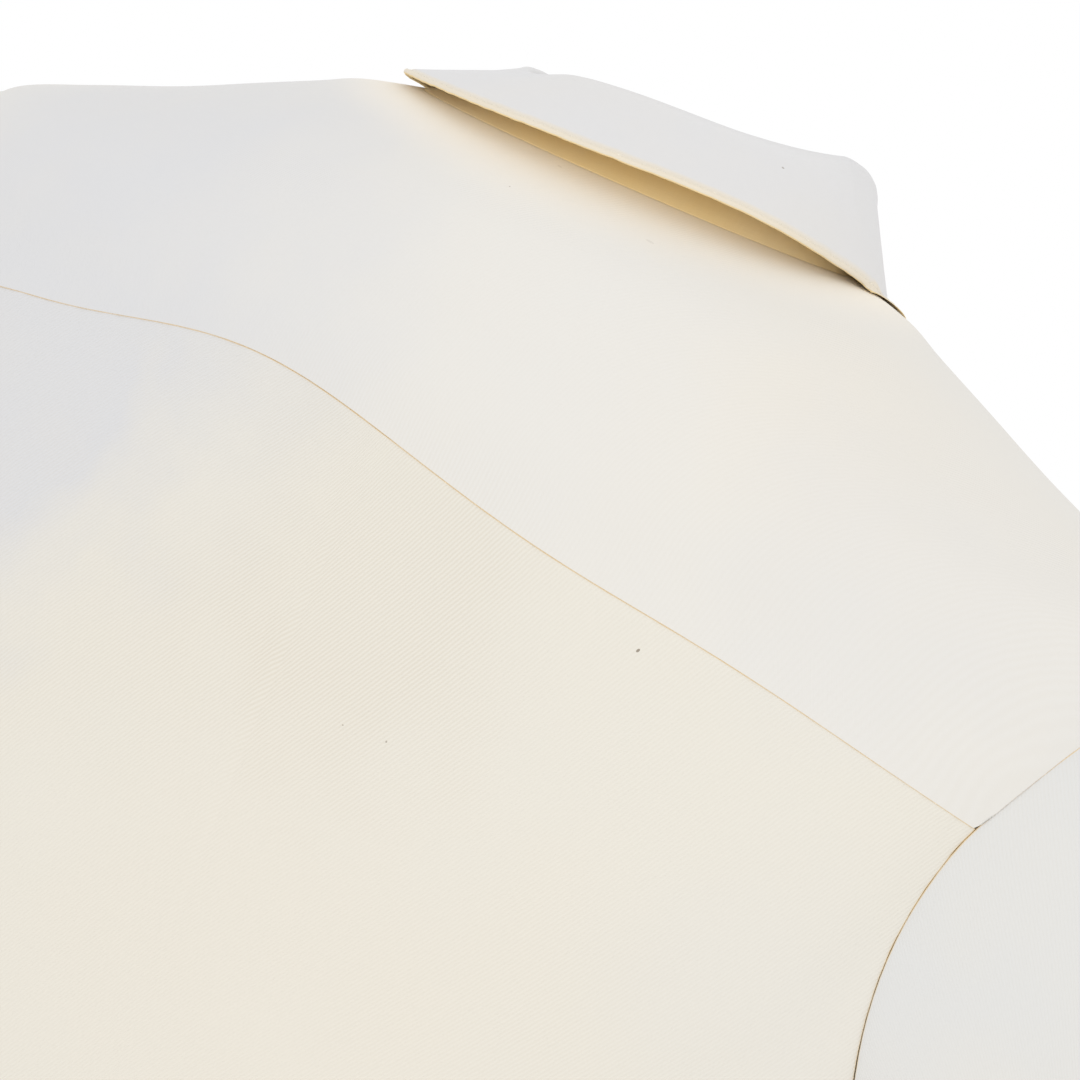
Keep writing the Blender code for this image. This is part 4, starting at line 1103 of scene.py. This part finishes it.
def front_places():
    arm = armhole_part(-armhole_turn(YOKE_FRONT_CORNER), -math.pi, 90)
    side = side_edge(arm, 170)
    steps = len(side) - 1
    strip = [straight_edge(x, steps) for x in np.linspace(-OVERLAP, BAND_EDGE, BAND_COLUMNS)]
    beside_band = math.acos(BAND_EDGE / form("width", NECK_TOP))
    neck = neckline(np.linspace(beside_band, YOKE_FRONT_AT_NECK, 60))
    top = chain(neck, front_yoke_seam(70))
    low_angles = np.linspace(strip[-1][-1, 0], 0, len(top))
    low = np.stack([low_angles, hem(low_angles)], -1)
    rest = patch(spread_top(top), low, spread_top(strip[-1]), spread_top(side))
    return np.concatenate([np.stack(strip[:-1], 1), gather_top(rest)], 1)


def make_fronts(looks, thread):
    raw = front_places()
    places = respace_both(raw, on_form)
    for name, flip in (("left", False), ("right", True)):
        spots = places
        if flip:
            spots = places[:, ::-1].copy()
            spots[..., 0] = math.pi - spots[..., 0]
        points, normals = on_form(spots), form_normals(spots)
        top = edge_distance(points, ["first"])
        outside = edge_distance(points, ["left" if flip else "right"])
        opening = edge_distance(points, ["right" if flip else "left"])
        bottom = edge_distance(points, ["last"])
        relief = dipped(top) + dipped(outside) + puckers(outside, spots[..., 1], 21)
        relief = relief + hem_relief(bottom, lengths_along(points, 1), 23)
        if flip:
            relief = relief - UNDER_FRONT_IN * (1 - smooth_step((-points[..., 0] - BAND_EDGE) / BAND_WIDTH))
        outer, inner = raised(points, normals, relief)
        outer, inner = round_edges(outer, inner, np.minimum(bottom, opening), CLOTH)
        edge = np.minimum(top, outside)
        piece = cloth_piece(f"front_panel_{name}", outer, inner, body_uv(spots), edge, looks)
        dress(piece, f"front_{name}", *cut_size(points))
        sew_hem(f"front_{name}_hem_stitches", outer, normals, bottom, thread)
    return raw


def make_band(raw, looks, thread):
    """The buttonhole band, folded at both edges and stitched beside them."""
    places = respace_both(raw[:, :BAND_COLUMNS], on_form, across=0.0030)
    points, normals = on_form(places), form_normals(places)
    edges = edge_distance(points, ["left", "right", "last", "first"])
    sides = edge_distance(points, ["left", "right"])
    along = lengths_along(points, 0)
    relief = trough(sides, *BAND_TROUGH) + puckers(sides, along, 31, BAND_PUCKERS)
    outer = points + normals * (BAND_TOP + relief)[..., None]
    outer, inner = round_edges(outer, outer - normals * BAND_CLOTH, edges, BAND_CLOTH)
    piece = cloth_piece("front_band_strip", outer, inner, cloth_map(points), 1 + 0 * edges, looks)
    dress(piece, "front_band", *cut_size(points))
    over = lengths_along(points, 1)[0]
    lines = []
    for place in (nearest(over, BAND_STITCHED), nearest(over[-1] - over, BAND_STITCHED)):
        lines.append((outer[2:-2, place], normals[2:-2, place]))
    add_stitches("front_band_stitches", lines, thread)
    sew_buttonholes(thread)


def sew_buttonholes(thread):
    """Two short rows of stitches that reach out above and below each front button."""
    lines = []
    for node in sorted(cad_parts):
        if not node.startswith("button_front"):
            continue
        middle = node_place(node)[0][2]
        z = np.linspace(middle - BUTTONHOLE / 2, middle + BUTTONHOLE / 2, 24)
        for side in (-0.5, 0.5):
            places = np.stack([front_angle(BAND_MIDDLE + side * BUTTONHOLE_APART, z), z], -1)
            normals = form_normals(places)
            lines.append((on_form(places) + normals * BAND_TOP, normals))
    add_stitches("buttonhole_stitches", lines, thread)


# The collar


def collar_line(around):
    side = np.where(around < 0, -1.0, 1.0)
    turn = (2 * np.abs(around) - 1) * QUARTER
    place = neckline(turn)
    point = form_point(place[..., 0], place[..., 1])
    outward = np.stack([np.cos(turn), -np.sin(turn), 0 * turn], -1)
    forward = np.stack([-np.sin(turn), -np.cos(turn), 0 * turn], -1)
    for vectors in (point, outward, forward):
        vectors[..., 0] *= side
    return point, outward, forward


def collar_up(around):
    lean = np.radians(collar("lean", around))[..., None]
    outward = collar_line(around)[1]
    return np.cos(lean) * np.array([0, 0, 1.0]) - np.sin(lean) * outward


def stand_point(around, share):
    point = collar_line(around)[0]
    height = collar("stand", around)[..., None]
    return point + collar_up(around) * (STAND_LIFT + share * height)


def clear_of_form(points, clearance):
    z = np.minimum(points[..., 2], 0)
    middle = form("middle", z)
    y = points[..., 1] - middle
    power = form("square", z)
    depth = np.where(y >= 0, form("back", z), form("front", z))
    width = form("width", z)
    size = ((np.abs(points[..., 0]) / width) ** power + (np.abs(y) / depth) ** power) ** (1 / power)
    far = np.hypot(points[..., 0], y)
    grow = np.where(points[..., 2] < 0, np.maximum(1, (1 + clearance / far) / size), 1)
    return np.stack([points[..., 0] * grow, middle + y * grow, points[..., 2]], -1)


def leaf_faces(around, share):
    outward, forward = collar_line(around)[1:]
    flare = np.radians(collar("flare", around))[..., None]
    swing = np.radians(collar("swing", around))[..., None]
    up = np.array([0, 0, 1.0])
    level = np.cos(swing) * outward - np.sin(swing) * forward
    down = np.sin(flare) * level - np.cos(flare) * up
    length = collar("leaf", around)[..., None]
    run = np.clip((share - FOLD_SHARE) / (1 - FOLD_SHARE), 0, 1) * length
    out = column(LEAF_FOLD, "share", "out", share)
    rise = column(LEAF_FOLD, "share", "rise", share)
    stand_up = collar_up(around)
    across = unit(outward - np.sum(outward * stand_up, -1, keepdims=True) * stand_up)
    upper = stand_point(around, 1.0) + stand_up * (LAID_GAP + rise) + across * out + down * run
    along = np.gradient(upper, axis=1)
    flat = unit(np.cross(down, along))
    turned = np.radians(column(LEAF_FOLD, "share", "turned", share))
    flatness = column(LEAF_FOLD, "share", "flat", share)
    wall_way = (1 - flatness) * (np.cos(turned) * across - np.sin(turned) * stand_up) - flatness * flat
    under = upper + unit(wall_way) * COLLAR_WALL
    upper = clear_of_form(upper, LEAF_CLEARANCE + COLLAR_WALL)
    return upper, clear_of_form(under, LEAF_CLEARANCE)


def make_leaf(looks, thread):
    grid = np.stack(np.meshgrid(np.linspace(LEAF_END, -LEAF_END, 261), np.linspace(0, 1, 121)), -1)
    grid = respace_both(grid, leaf_upper, down=0.0022, across=0.0030)
    upper, under = leaf_skins(grid)
    free = edge_distance(upper, ["last", "left", "right"])
    along = lengths_along(upper, 1)[-1:]
    relief = trough(free, *LEAF_TROUGH) + trough(free, *LEAF_RIDGE)
    way = unit(upper - under)
    upper = upper + way * (relief + puckers(free, along, 41, LEAF_PUCKERS))[..., None]
    every = edge_distance(upper, ["last", "left", "right"])
    upper, under = round_edges(upper, upper - way * COLLAR_CLOTH, every, COLLAR_CLOTH)
    # Painted golden shade of the underside, carried round the leaf's rim
    rim = LEAF_RIM_SHADE * (1 - smooth_step((free - LEAF_RIM_SHADE_WIDTH) / 0.0008))
    piece = cloth_piece("collar_leaf_cloth", upper, under, cloth_map(upper), 1 + 0 * free, looks, rim=rim)
    dress(piece, "collar_leaf", *cut_size(upper), held="folded")
    lines = [leaf_line(upper, way, LEAF_STITCHED, edge) for edge in ("left", "last", "right")]
    add_stitches("collar_leaf_stitches", lines, thread)


def leaf_upper(grid):
    return leaf_skins(grid)[0]


def leaf_skins(grid):
    return leaf_faces(grid[..., 0], grid[..., 1:2])


def leaf_line(points, normals, distance, edge):
    """The line of a grid that runs beside one of its edges at a distance, and the way out there."""
    if edge == "last":
        down = lengths_along(points, 0)[:, 80]
        row = nearest(down[-1] - down, distance)
        return points[row, 8:-8], normals[row, 8:-8]
    over = lengths_along(points, 1)
    over = over[len(over) // 2]
    place = nearest(over if edge == "left" else over[-1] - over, distance)
    return points[14:-8, place], normals[14:-8, place]


def make_stand(looks):
    lap = np.linspace(STAND_END, LEAF_END, 12)
    around = chain(lap, np.linspace(LEAF_END, -LEAF_END, 241), -lap[::-1])
    grid = np.stack(np.meshgrid(around, np.linspace(-STAND_TUCK, 1, 41)), -1)
    grid = respace(grid, stand_outer, 0, cell=0.0030)
    outer = stand_outer(grid)
    outside = unit(np.cross(np.gradient(outer, axis=1), collar_up(grid[..., 0])))
    edges = edge_distance(outer, ["first", "last", "left", "right"])
    outer, inner = round_edges(outer, outer - outside * COLLAR_CLOTH, edges, COLLAR_CLOTH)
    uv = np.stack([lengths_along(outer, 1), lengths_along(outer, 0)], -1)
    piece = cloth_piece("collar_stand_cloth", outer, inner, uv, 1 + 0 * edges, looks)
    dress(piece, "collar_stand", *cut_size(outer), held="folded")


def stand_outer(grid):
    around, share = grid[..., 0], grid[..., 1]
    under = UNDER_STAND_IN * (1 - smooth_step((around + UNDER_STAND_FROM) / UNDER_STAND_EASE))
    return stand_point(around, share[..., None]) - collar_line(around)[1] * under[..., None]


# The sleeves and cuffs


def sleeve_fold(ring, turn):
    total = np.zeros(np.broadcast(ring, turn).shape)
    for fold in SLEEVE_FOLDS + SLEEVE_CREASES:
        away = around_zero(turn - math.radians(fold["angle"]))
        along = ring - fold["ring"] - away * fold["lean"] / 40
        total = total + fold["out"] * np.exp(
            -((along / fold["reach"]) ** 2) - (away / math.radians(fold["width"])) ** 2
        )
    return total


def middle_at(ring):
    top = np.stack([sleeve("top_x", ring), sleeve("top_z", ring)], -1)
    low = np.stack([sleeve("low_x", ring), sleeve("low_z", ring)], -1)
    middle = (top + low) / 2
    y = sleeve("y", ring)
    return np.stack([middle[..., 0], y, middle[..., 1]], -1)


def sleeve_point(ring, turn):
    values = {key: sleeve(key, ring) for key in SLEEVE[0] if key != "ring"}
    up_share, back_share = squared(turn, 2 / SLEEVE_SQUARE)
    crease = sleeve_fold(ring, turn)
    top = np.stack([values["top_x"], values["top_z"]], -1)
    low = np.stack([values["low_x"], values["low_z"]], -1)
    middle = (top + low) / 2
    half = (top - low) / 2
    size = np.linalg.norm(half, axis=-1)
    grown = (1 + crease / size)[..., None]
    flat = middle + half * grown * up_share[..., None]
    y = values["y"] + (values["deep"] + crease) * back_share
    tube = np.stack([flat[..., 0], y, flat[..., 1]], -1)
    place = armhole(around_zero(turn))
    hole = form_point(place[..., 0], place[..., 1])
    share = (1 - smooth_step(ring / ARMHOLE_BLEND))[..., None]
    carried = hole + (middle_at(ring) - middle_at(0 * ring))
    return share * carried + (1 - share) * tube


def sleeve_normal(ring, turn):
    along = sleeve_point(ring + 0.02, turn) - sleeve_point(np.maximum(ring - 0.02, 0), turn)
    round_ring = sleeve_point(ring, turn + 0.03) - sleeve_point(ring, turn - 0.03)
    own = unit(np.cross(along, round_ring))
    place = armhole(around_zero(turn))
    share = ((1 + np.cos(turn)) / 2 * (1 - np.clip(ring, 0, 1)))[..., None]
    return unit(share * form_normal(place[..., 0], place[..., 1]) + (1 - share) * own)


def on_sleeve(grid):
    return sleeve_point(grid[..., 0], grid[..., 1])


def make_sleeves(looks):
    turns = np.linspace(0, 2 * math.pi, 121)[:-1]
    rings = np.linspace(0, SLEEVE_RINGS, 281)
    grid = respace(np.stack(np.meshgrid(rings, turns, indexing="ij"), -1), on_sleeve, 0, cell=0.0045)
    points = on_sleeve(grid)
    normals = sleeve_normal(grid[..., 0], grid[..., 1])
    head = edge_distance(points, ["first"])
    wrist = edge_distance(points, ["last"])
    along = np.cumsum(np.linalg.norm(points[0] - np.roll(points[0], 1, 0), axis=-1))[None]
    relief = dipped(head, SLEEVE_HEAD_DIP) + puckers(head, along, 51, SLEEVE_PUCKERS)
    gathered = GATHERS * noise_along(along, GATHER_WAVE, 53) * np.exp(-wrist / GATHER_REACH)
    # A pressed seam runs under the arm from the armhole to the cuff
    under_arm = np.abs(around_zero(grid[..., 1] - math.pi)) * ARM_GIRTH
    relief = relief + gathered * smooth_step(wrist / GATHER_START) + dipped(under_arm, UNDER_ARM_DIP)
    outer, inner = raised(points, normals, relief)
    # The cut is measured round the whole tube, back to its first line
    whole = np.concatenate([points, points[:, :1]], 1)
    uv = cloth_map(whole)[:, :-1]
    for side, sign in SLEEVE_SIDES:
        flip = np.array([sign, 1.0, 1.0])
        edge = np.minimum(head, wrist)
        piece = tube_piece(f"sleeve_cloth_{side}", outer * flip, inner * flip, uv, edge, looks)
        dress(piece, f"sleeve_{side}", *cut_size(whole))


def tube_piece(name, outer, inner, uv, edge, looks):
    """A closed tube of cloth whose map is cut along its first column."""
    rows, columns = outer.shape[:2]
    piece = cloth_piece(name, outer, inner, uv, edge, looks, closed=True)
    mesh = piece.data
    layer = mesh.uv_layers["cloth"]
    order = np.zeros(len(mesh.loops), np.int32)
    mesh.loops.foreach_get("vertex_index", order)
    flat = np.zeros(len(mesh.loops) * 2, np.float32)
    layer.data.foreach_get("uv", flat)
    flat = flat.reshape(-1, 4, 2)
    columns_of = (order % columns).reshape(-1, 4)
    # A face of the last strip has corners in the first and the last column
    wraps = (columns_of == 0).any(1) & (columns_of == columns - 1).any(1)
    girth = np.linalg.norm(np.roll(outer, -1, 1) - outer, axis=-1).sum(1)
    rows_of = (order % (rows * columns) // columns).reshape(-1, 4)
    sign = np.sign(flat[~wraps][:, :, 0].sum()) or 1.0
    moved = flat.copy()
    first = (columns_of == 0) & wraps[:, None]
    moved[..., 0] = np.where(first, flat[..., 0] + sign * girth[rows_of], flat[..., 0])
    layer.data.foreach_set("uv", moved.ravel())
    return piece


def wrist_frame():
    last = float(SLEEVE_RINGS)
    middle = middle_at(np.array(last))
    row = SLEEVE[-1]
    top = np.array([row["top_x"], row["y"], row["top_z"]])
    side = unit(top - middle)
    back = np.array([0, 1.0, 0])
    along = unit(middle_at(np.array(last)) - middle_at(np.array(last - 1)))
    down = np.cross(side, back)
    down = down if down @ along > 0 else -down
    return middle, side, back, down, np.linalg.norm(top - middle), row["deep"]


def cuff_point(turn, share, out=0.0):
    middle, side, back, down, wide, deep = wrist_frame()
    across, along = squared(turn, 2 / SLEEVE_SQUARE)
    size = 1 + (CUFF_TAPER - 1) * share
    sideways = (across * size * (wide + out))[..., None] * side
    backward = (along * size * (deep + out))[..., None] * back
    return middle + sideways + backward + down * (CUFF_GAP + share[..., None] * CUFF_LENGTH)


def cuff_out(turn):
    lap = smooth_step((turn - CUFF_LAP_ANGLE - 2 * math.pi + CUFF_LAP) / CUFF_LAP)
    return lap * CUFF_LAP_OUT


def on_cuff(grid):
    return cuff_point(grid[..., 1], grid[..., 0], cuff_out(grid[..., 1]))


def make_cuffs(looks, thread):
    turns = CUFF_LAP_ANGLE + np.linspace(0, 2 * math.pi + CUFF_LAP, 181)
    grid = np.stack(np.meshgrid(np.linspace(0, 1, 61), turns, indexing="ij"), -1)
    grid = respace_both(grid, on_cuff, down=0.0035, across=0.0035)
    outer = on_cuff(grid)
    outward = unit(outer - cuff_point(grid[..., 1], grid[..., 0], cuff_out(grid[..., 1]) - COLLAR_WALL))
    edges = edge_distance(outer, ["first", "last", "left", "right"])
    waves = puckers(edges, lengths_along(outer, 1), 61, CUFF_PUCKERS)
    relief = trough(edges, *CUFF_TROUGH) + waves
    outer = outer + outward * relief[..., None]
    outer, inner = round_edges(outer, outer - outward * COLLAR_CLOTH, edges, COLLAR_CLOTH)
    down = lengths_along(outer, 0)[:, 40]
    over = lengths_along(outer, 1)[10]
    rows = [nearest(down, at) for at in (CUFF_STITCHED, CUFF_LENGTH - CUFF_STITCHED)]
    columns = [nearest(over, at) for at in (CUFF_STITCHED, over[-1] - CUFF_STITCHED)]
    inset = slice(9, -9)
    lines = [(row, inset) for row in rows] + [(inset, place) for place in columns]
    both_arms("cuff_cloth", "cuff", "cuff_stitches", outer, inner, outward, lines, looks, thread)


def both_arms(name, node, stitches, outer, inner, outward, lines, looks, thread):
    """A strip on the left arm and, mirrored, on the right one, each with its rows of stitches."""
    for side, sign in SLEEVE_SIDES:
        flip = np.array([sign, 1.0, 1.0])
        no_seam = np.ones(outer.shape[:2])
        piece = cloth_piece(f"{name}_{side}", outer * flip, inner * flip, cloth_map(outer), no_seam, looks)
        dress(piece, f"{node}_{side}", *cut_size(outer), held="folded")
        rows = [(outer[line] * flip, outward[line] * flip) for line in lines]
        add_stitches(f"{stitches}_{side}", rows, thread)


def placket_turn(place):
    """The turn of one of the CAD sleeve's lines of points."""
    back = armhole_turn(YOKE_BACK_CORNER)
    return back + (math.pi - back) * (place - YOKE_BACK_STEPS) / ARM_BACK_STEPS


def make_plackets(looks, thread):
    """The strip over each sleeve's slit, with stitching round it."""
    rings = np.linspace(PLACKET_FIRST_RING + 0.02, SLEEVE_RINGS - 0.01, 121)
    turns = np.linspace(placket_turn(PLACKET_TURNS[0]), placket_turn(PLACKET_TURNS[1]), 41)
    grid = np.stack(np.meshgrid(rings, turns, indexing="ij"), -1)
    grid = respace_both(grid, on_sleeve, down=0.0030, across=0.0030)
    points = on_sleeve(grid)
    outward = sleeve_normal(grid[..., 0], grid[..., 1])
    edges = edge_distance(points, ["first", "last", "left", "right"])
    relief = LAID_GAP + PLACKET_RISE + trough(edges, *PLACKET_TROUGH)
    outer = points + outward * relief[..., None]
    outer, inner = round_edges(outer, outer - outward * PLACKET_CLOTH, edges, PLACKET_CLOTH)
    down = lengths_along(outer, 0)[:, 10]
    over = lengths_along(outer, 1)[10]
    columns = [nearest(over, at) for at in (PLACKET_STITCHED, over[-1] - PLACKET_STITCHED)]
    lines = [(slice(6, -4), place) for place in columns] + [(nearest(down, PLACKET_STITCHED), slice(6, -6))]
    strips = ("sleeve_placket_strip", "sleeve_placket", "sleeve_placket_stitches")
    both_arms(*strips, outer, inner, outward, lines, looks, thread)


# Sewing


def stitch_shape():
    """The half height of one stitch along its length: it dives into the cloth at both ends."""
    share = np.linspace(0, 1, 7)
    rise = 0.00016 * np.sin(math.pi * share) ** 0.6 - 0.00010
    size = THREAD * (0.55 + 0.45 * np.sin(math.pi * share) ** 0.5)
    return share, rise, size


def threads_mesh(name, threads, ends):
    """One mesh of round threads, each with its line, two directions across it and its thickness."""
    sides = ends.max() + 1
    turns = np.linspace(0, 2 * math.pi, sides + 1)[:-1, None]
    vertices, quads = [], []
    for number, (middle, across, out, size) in enumerate(threads):
        ring = across[:, None] * np.cos(turns) + out[:, None] * np.sin(turns)
        vertices.append((middle[:, None] + ring * size).reshape(-1, 3))
        start = number * len(middle) * sides
        last = start + (len(middle) - 1) * sides
        quads += [grid_quads(len(middle), sides, True, start), start + ends[:, ::-1], last + ends]
    return build_mesh(name, np.concatenate(vertices), np.concatenate(quads))


def add_stitches(name, lines, looks):
    """Rows of single stitches along lines on the cloth, as one piece."""
    share, rise, size = stitch_shape()
    threads = []
    for points, normals in lines:
        run = lengths_along(points[None], 1)[0]
        starts = np.arange(STITCH_GAP, run[-1] - STITCH, STITCH + STITCH_GAP)
        at = starts[:, None] + share[None] * STITCH
        middle = np.stack([np.interp(at, run, points[:, k]) for k in range(3)], -1)
        out = unit(np.stack([np.interp(at, run, normals[:, k]) for k in range(3)], -1))
        side = unit(np.cross(unit(np.gradient(middle, axis=1)), out))
        middle = middle + out * rise[None, :, None]
        threads += [(*one, size[:, None, None]) for one in zip(middle, side, out)]
    piece = add_piece(name, threads_mesh(name, threads, STITCH_ENDS), looks)
    return piece


# Buttons


def node_place(node):
    """The middle of a CAD node and the way its disc faces."""
    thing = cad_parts[node]
    points = np.array([list(thing.matrix_world @ vertex.co) for vertex in thing.data.vertices])
    middle = points.mean(0)
    _, _, axes = np.linalg.svd(points - middle)
    return middle, axes[2]


BUTTON_PROFILE = (
    (0.0000, 0.00055),
    (0.0030, 0.00055),
    (0.0034, 0.00070),
    (0.0038, 0.00105),
    (0.0043, 0.00126),
    (0.0049, 0.00128),
    (0.0053, 0.00100),
    (0.0056, 0.00030),
    (0.0055, -0.00050),
    (0.0050, -0.00110),
    (0.0040, -0.00130),
    (0.0000, -0.00130),
)
HOLE_RADIUS = 0.00075
HOLE_OUT = 0.00135
# A button's thread is made of strands of eight sides
STRAND_RADIUS = 0.00017
STRAND_ENDS = np.array([[0, 1, 2, 3], [0, 3, 4, 7], [4, 5, 6, 7]])
BUTTON_STEPS = 48


def button_mesh():
    """A turned button with a dished middle and four holes."""
    profile = np.array(BUTTON_PROFILE)
    smooth = []
    for first, second in zip(profile, profile[1:]):
        smooth += [first + (second - first) * t for t in np.linspace(0, 1, 3)[:-1]]
    smooth.append(profile[-1])
    mesh = bpy.data.meshes.new("button_blank")
    vertices = [(0.0, 0.0, smooth[0][1])]
    for radius, height in smooth[1:-1]:
        for step in range(BUTTON_STEPS):
            turn = 2 * math.pi * step / BUTTON_STEPS
            vertices.append((radius * math.cos(turn), radius * math.sin(turn), height))
    vertices.append((0.0, 0.0, smooth[-1][1]))
    faces = []
    rings = len(smooth) - 2
    for step in range(BUTTON_STEPS):
        after = (step + 1) % BUTTON_STEPS
        faces.append((0, 1 + step, 1 + after))
        for ring in range(rings - 1):
            first = 1 + ring * BUTTON_STEPS
            second = first + BUTTON_STEPS
            faces.append((first + step, second + step, second + after, first + after))
        last = 1 + (rings - 1) * BUTTON_STEPS
        faces.append((last + step, len(vertices) - 1, last + after))
    mesh.from_pydata(vertices, [], faces)
    blank = bpy.data.objects.new("button_blank", mesh)
    bpy.context.scene.collection.objects.link(blank)
    drills = []
    for number in range(4):
        turn = math.pi / 4 + number * QUARTER
        spot = (HOLE_OUT * math.cos(turn), HOLE_OUT * math.sin(turn), 0.0)
        bpy.ops.mesh.primitive_cylinder_add(vertices=16, radius=HOLE_RADIUS, depth=0.01, location=spot)
        tool = bpy.context.active_object
        cut = blank.modifiers.new("hole", "BOOLEAN")
        cut.operation = "DIFFERENCE"
        cut.solver = "EXACT"
        cut.object = tool
        drills.append(tool)
    bpy.context.view_layer.update()
    made = bpy.data.meshes.new_from_object(blank.evaluated_get(bpy.context.evaluated_depsgraph_get()))
    for tool in drills + [blank]:
        bpy.data.objects.remove(tool)
    made.shade_smooth()
    made.set_sharp_from_angle(angle=math.radians(42))
    return made


def thread_mesh():
    """Two bars of thread across the button's holes, several strands each."""
    share = np.linspace(-1, 1, 11)
    threads = []
    for side in (-1, 1):
        for strand in (-1, 0, 1):
            x = share * HOLE_OUT * 0.78
            y = np.full(share.shape, side * HOLE_OUT * 0.71) + strand * 0.00026
            z = 0.00085 + 0.00012 * (1 - abs(strand)) - 0.0011 * np.abs(share) ** 5
            middle = np.stack([x, y, z], -1)
            along = unit(np.gradient(middle, axis=0))
            across = unit(np.cross(along, (0, 0, 1.0)))
            threads.append((middle, across, np.cross(across, along), STRAND_RADIUS))
    return threads_mesh("button_thread", threads, STRAND_ENDS)


def make_buttons(looks, thread):
    blank = button_mesh()
    bars = thread_mesh()
    centre = np.array([0.0, 0.0, -0.40])
    for node in sorted(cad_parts):
        if not node.startswith("button_"):
            continue
        middle, facing = node_place(node)
        if node.startswith("button_cuff") or node.startswith("button_sleeve"):
            side = 1.0 if node.endswith("left") else -1.0
            inside = middle_at(np.array(float(SLEEVE_RINGS))) * np.array([side, 1.0, 1.0])
            inside[2] = middle[2]
            away = middle - inside
        else:
            away = np.array([0.0, -1.0, 0.0])
        facing = facing if facing @ away > 0 else -facing
        across = unit(np.cross((0.0, 0.0, 1.0), facing))
        upward = np.cross(facing, across)
        turned = Matrix(np.stack([across, upward, facing], 1).tolist()).to_4x4()
        place = Matrix.Translation(Vector(middle.tolist())) @ turned
        for name, mesh, finish, slot in (
            (f"{node}_disc", blank, looks, "button"),
            (f"{node}_thread", bars, thread, "cotton_drill"),
        ):
            own = mesh.copy()
            own.transform(place)
            piece = add_piece(name, own, finish)
            if slot == "button":
                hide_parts(node)


# Light, floor and camera


def make_floor():
    """A pale floor well below the shirt."""
    mesh = bpy.data.meshes.new("floor")
    turns = np.linspace(0, 2 * math.pi, 97)[:-1]
    vertices = []
    for turn in turns:
        vertices.append((FLOOR_RADIUS * math.cos(turn), FLOOR_RADIUS * math.sin(turn), FLOOR_HEIGHT))
    mesh.from_pydata(vertices, [], [tuple(range(len(turns)))])
    floor = bpy.data.objects.new("floor", mesh)
    bpy.context.scene.collection.objects.link(floor)
    looks = {"Base Color": (*FLOOR_COLOUR, 1.0), "Roughness": 0.9}
    mesh.materials.append(Nodes("pale_floor").finish(looks))


def make_world():
    """Even white light from all round."""
    world = bpy.data.worlds.new("studio")
    bpy.context.scene.world = world
    world.use_nodes = True
    background = world.node_tree.nodes["Background"]
    background.inputs["Color"].default_value = (1.0, 1.0, 1.0, 1.0)
    background.inputs["Strength"].default_value = 1.0


def make_light():
    """One soft light from high behind."""
    data = bpy.data.lights.new("soft_from_behind", "AREA")
    data.shape = "DISK"
    data.size = LIGHT_SIZE
    data.energy = LIGHT_POWER
    data.color = LIGHT_COLOUR
    light = bpy.data.objects.new("soft_from_behind", data)
    bpy.context.scene.collection.objects.link(light)
    light.location = LIGHT_PLACE
    light.rotation_euler = (Vector(LIGHT_AIM) - Vector(LIGHT_PLACE)).to_track_quat("-Z", "Y").to_euler()


def make_camera():
    """The camera that takes the photograph's view, turned about its own axis and shifted in its own plane."""
    azimuth, elevation, roll = CAMERA_AZIMUTH, CAMERA_ELEVATION, CAMERA_ROLL
    level_part = math.cos(elevation)
    behind = Vector((math.sin(azimuth) * level_part, -math.cos(azimuth) * level_part, math.sin(elevation)))
    level = Vector((math.cos(azimuth), math.sin(azimuth), 0.0))
    upright = behind.cross(level)
    right = level * math.cos(roll) + upright * math.sin(roll)
    up = upright * math.cos(roll) - level * math.sin(roll)
    data = bpy.data.cameras.new("camera")
    data.sensor_width = SENSOR
    data.lens = SENSOR * CAMERA_FOCUS / PHOTO_WIDTH
    data.clip_start = 0.02
    data.clip_end = 30.0
    camera = bpy.data.objects.new("camera", data)
    bpy.context.scene.collection.objects.link(camera)
    camera.rotation_mode = "QUATERNION"
    camera.rotation_quaternion = Matrix((right, up, behind)).transposed().to_quaternion()
    camera.location = right * CAMERA_SIDE + up * CAMERA_RISE + behind * CAMERA_DISTANCE
    bpy.context.scene.camera = camera


def set_colours():
    view = bpy.context.scene.view_settings
    view.view_transform = "Standard"
    view.look = "None"
    view.exposure = 0.0
    view.gamma = 1.0


def main():
    make_camera()
    set_colours()
    body_looks = drill("drill_body", BACK_CREAM)
    front_looks = drill("drill_front", YOKE_CREAM, twill=0.7)
    yoke_looks = drill("drill_yoke", YOKE_CREAM, twill=0.40, below=NECK_BOUNCE_CREAM)
    leaf_looks = drill("drill_leaf", COLLAR_CREAM, twill=0.35, below=LEAF_UNDERSIDE_SHADE)
    # The stand's colour is painted shade: the golden gap under the leaf
    stand_shade_looks = drill("drill_stand_shade", STAND_SHADE_GOLD, twill=0.35)
    sleeve_looks = drill("drill_sleeve", SLEEVE_CREAM, twill=0.6)
    thread = thread_looks()
    make_back(body_looks, thread)
    make_yoke(yoke_looks)
    raw = make_fronts(front_looks, thread)
    make_band(raw, front_looks, thread)
    make_stand(stand_shade_looks)
    make_leaf(leaf_looks, thread)
    make_sleeves(sleeve_looks)
    make_cuffs(sleeve_looks, thread)
    make_plackets(sleeve_looks, thread)
    make_buttons(button_looks(), thread)
    make_floor()
    make_world()
    make_light()


main()
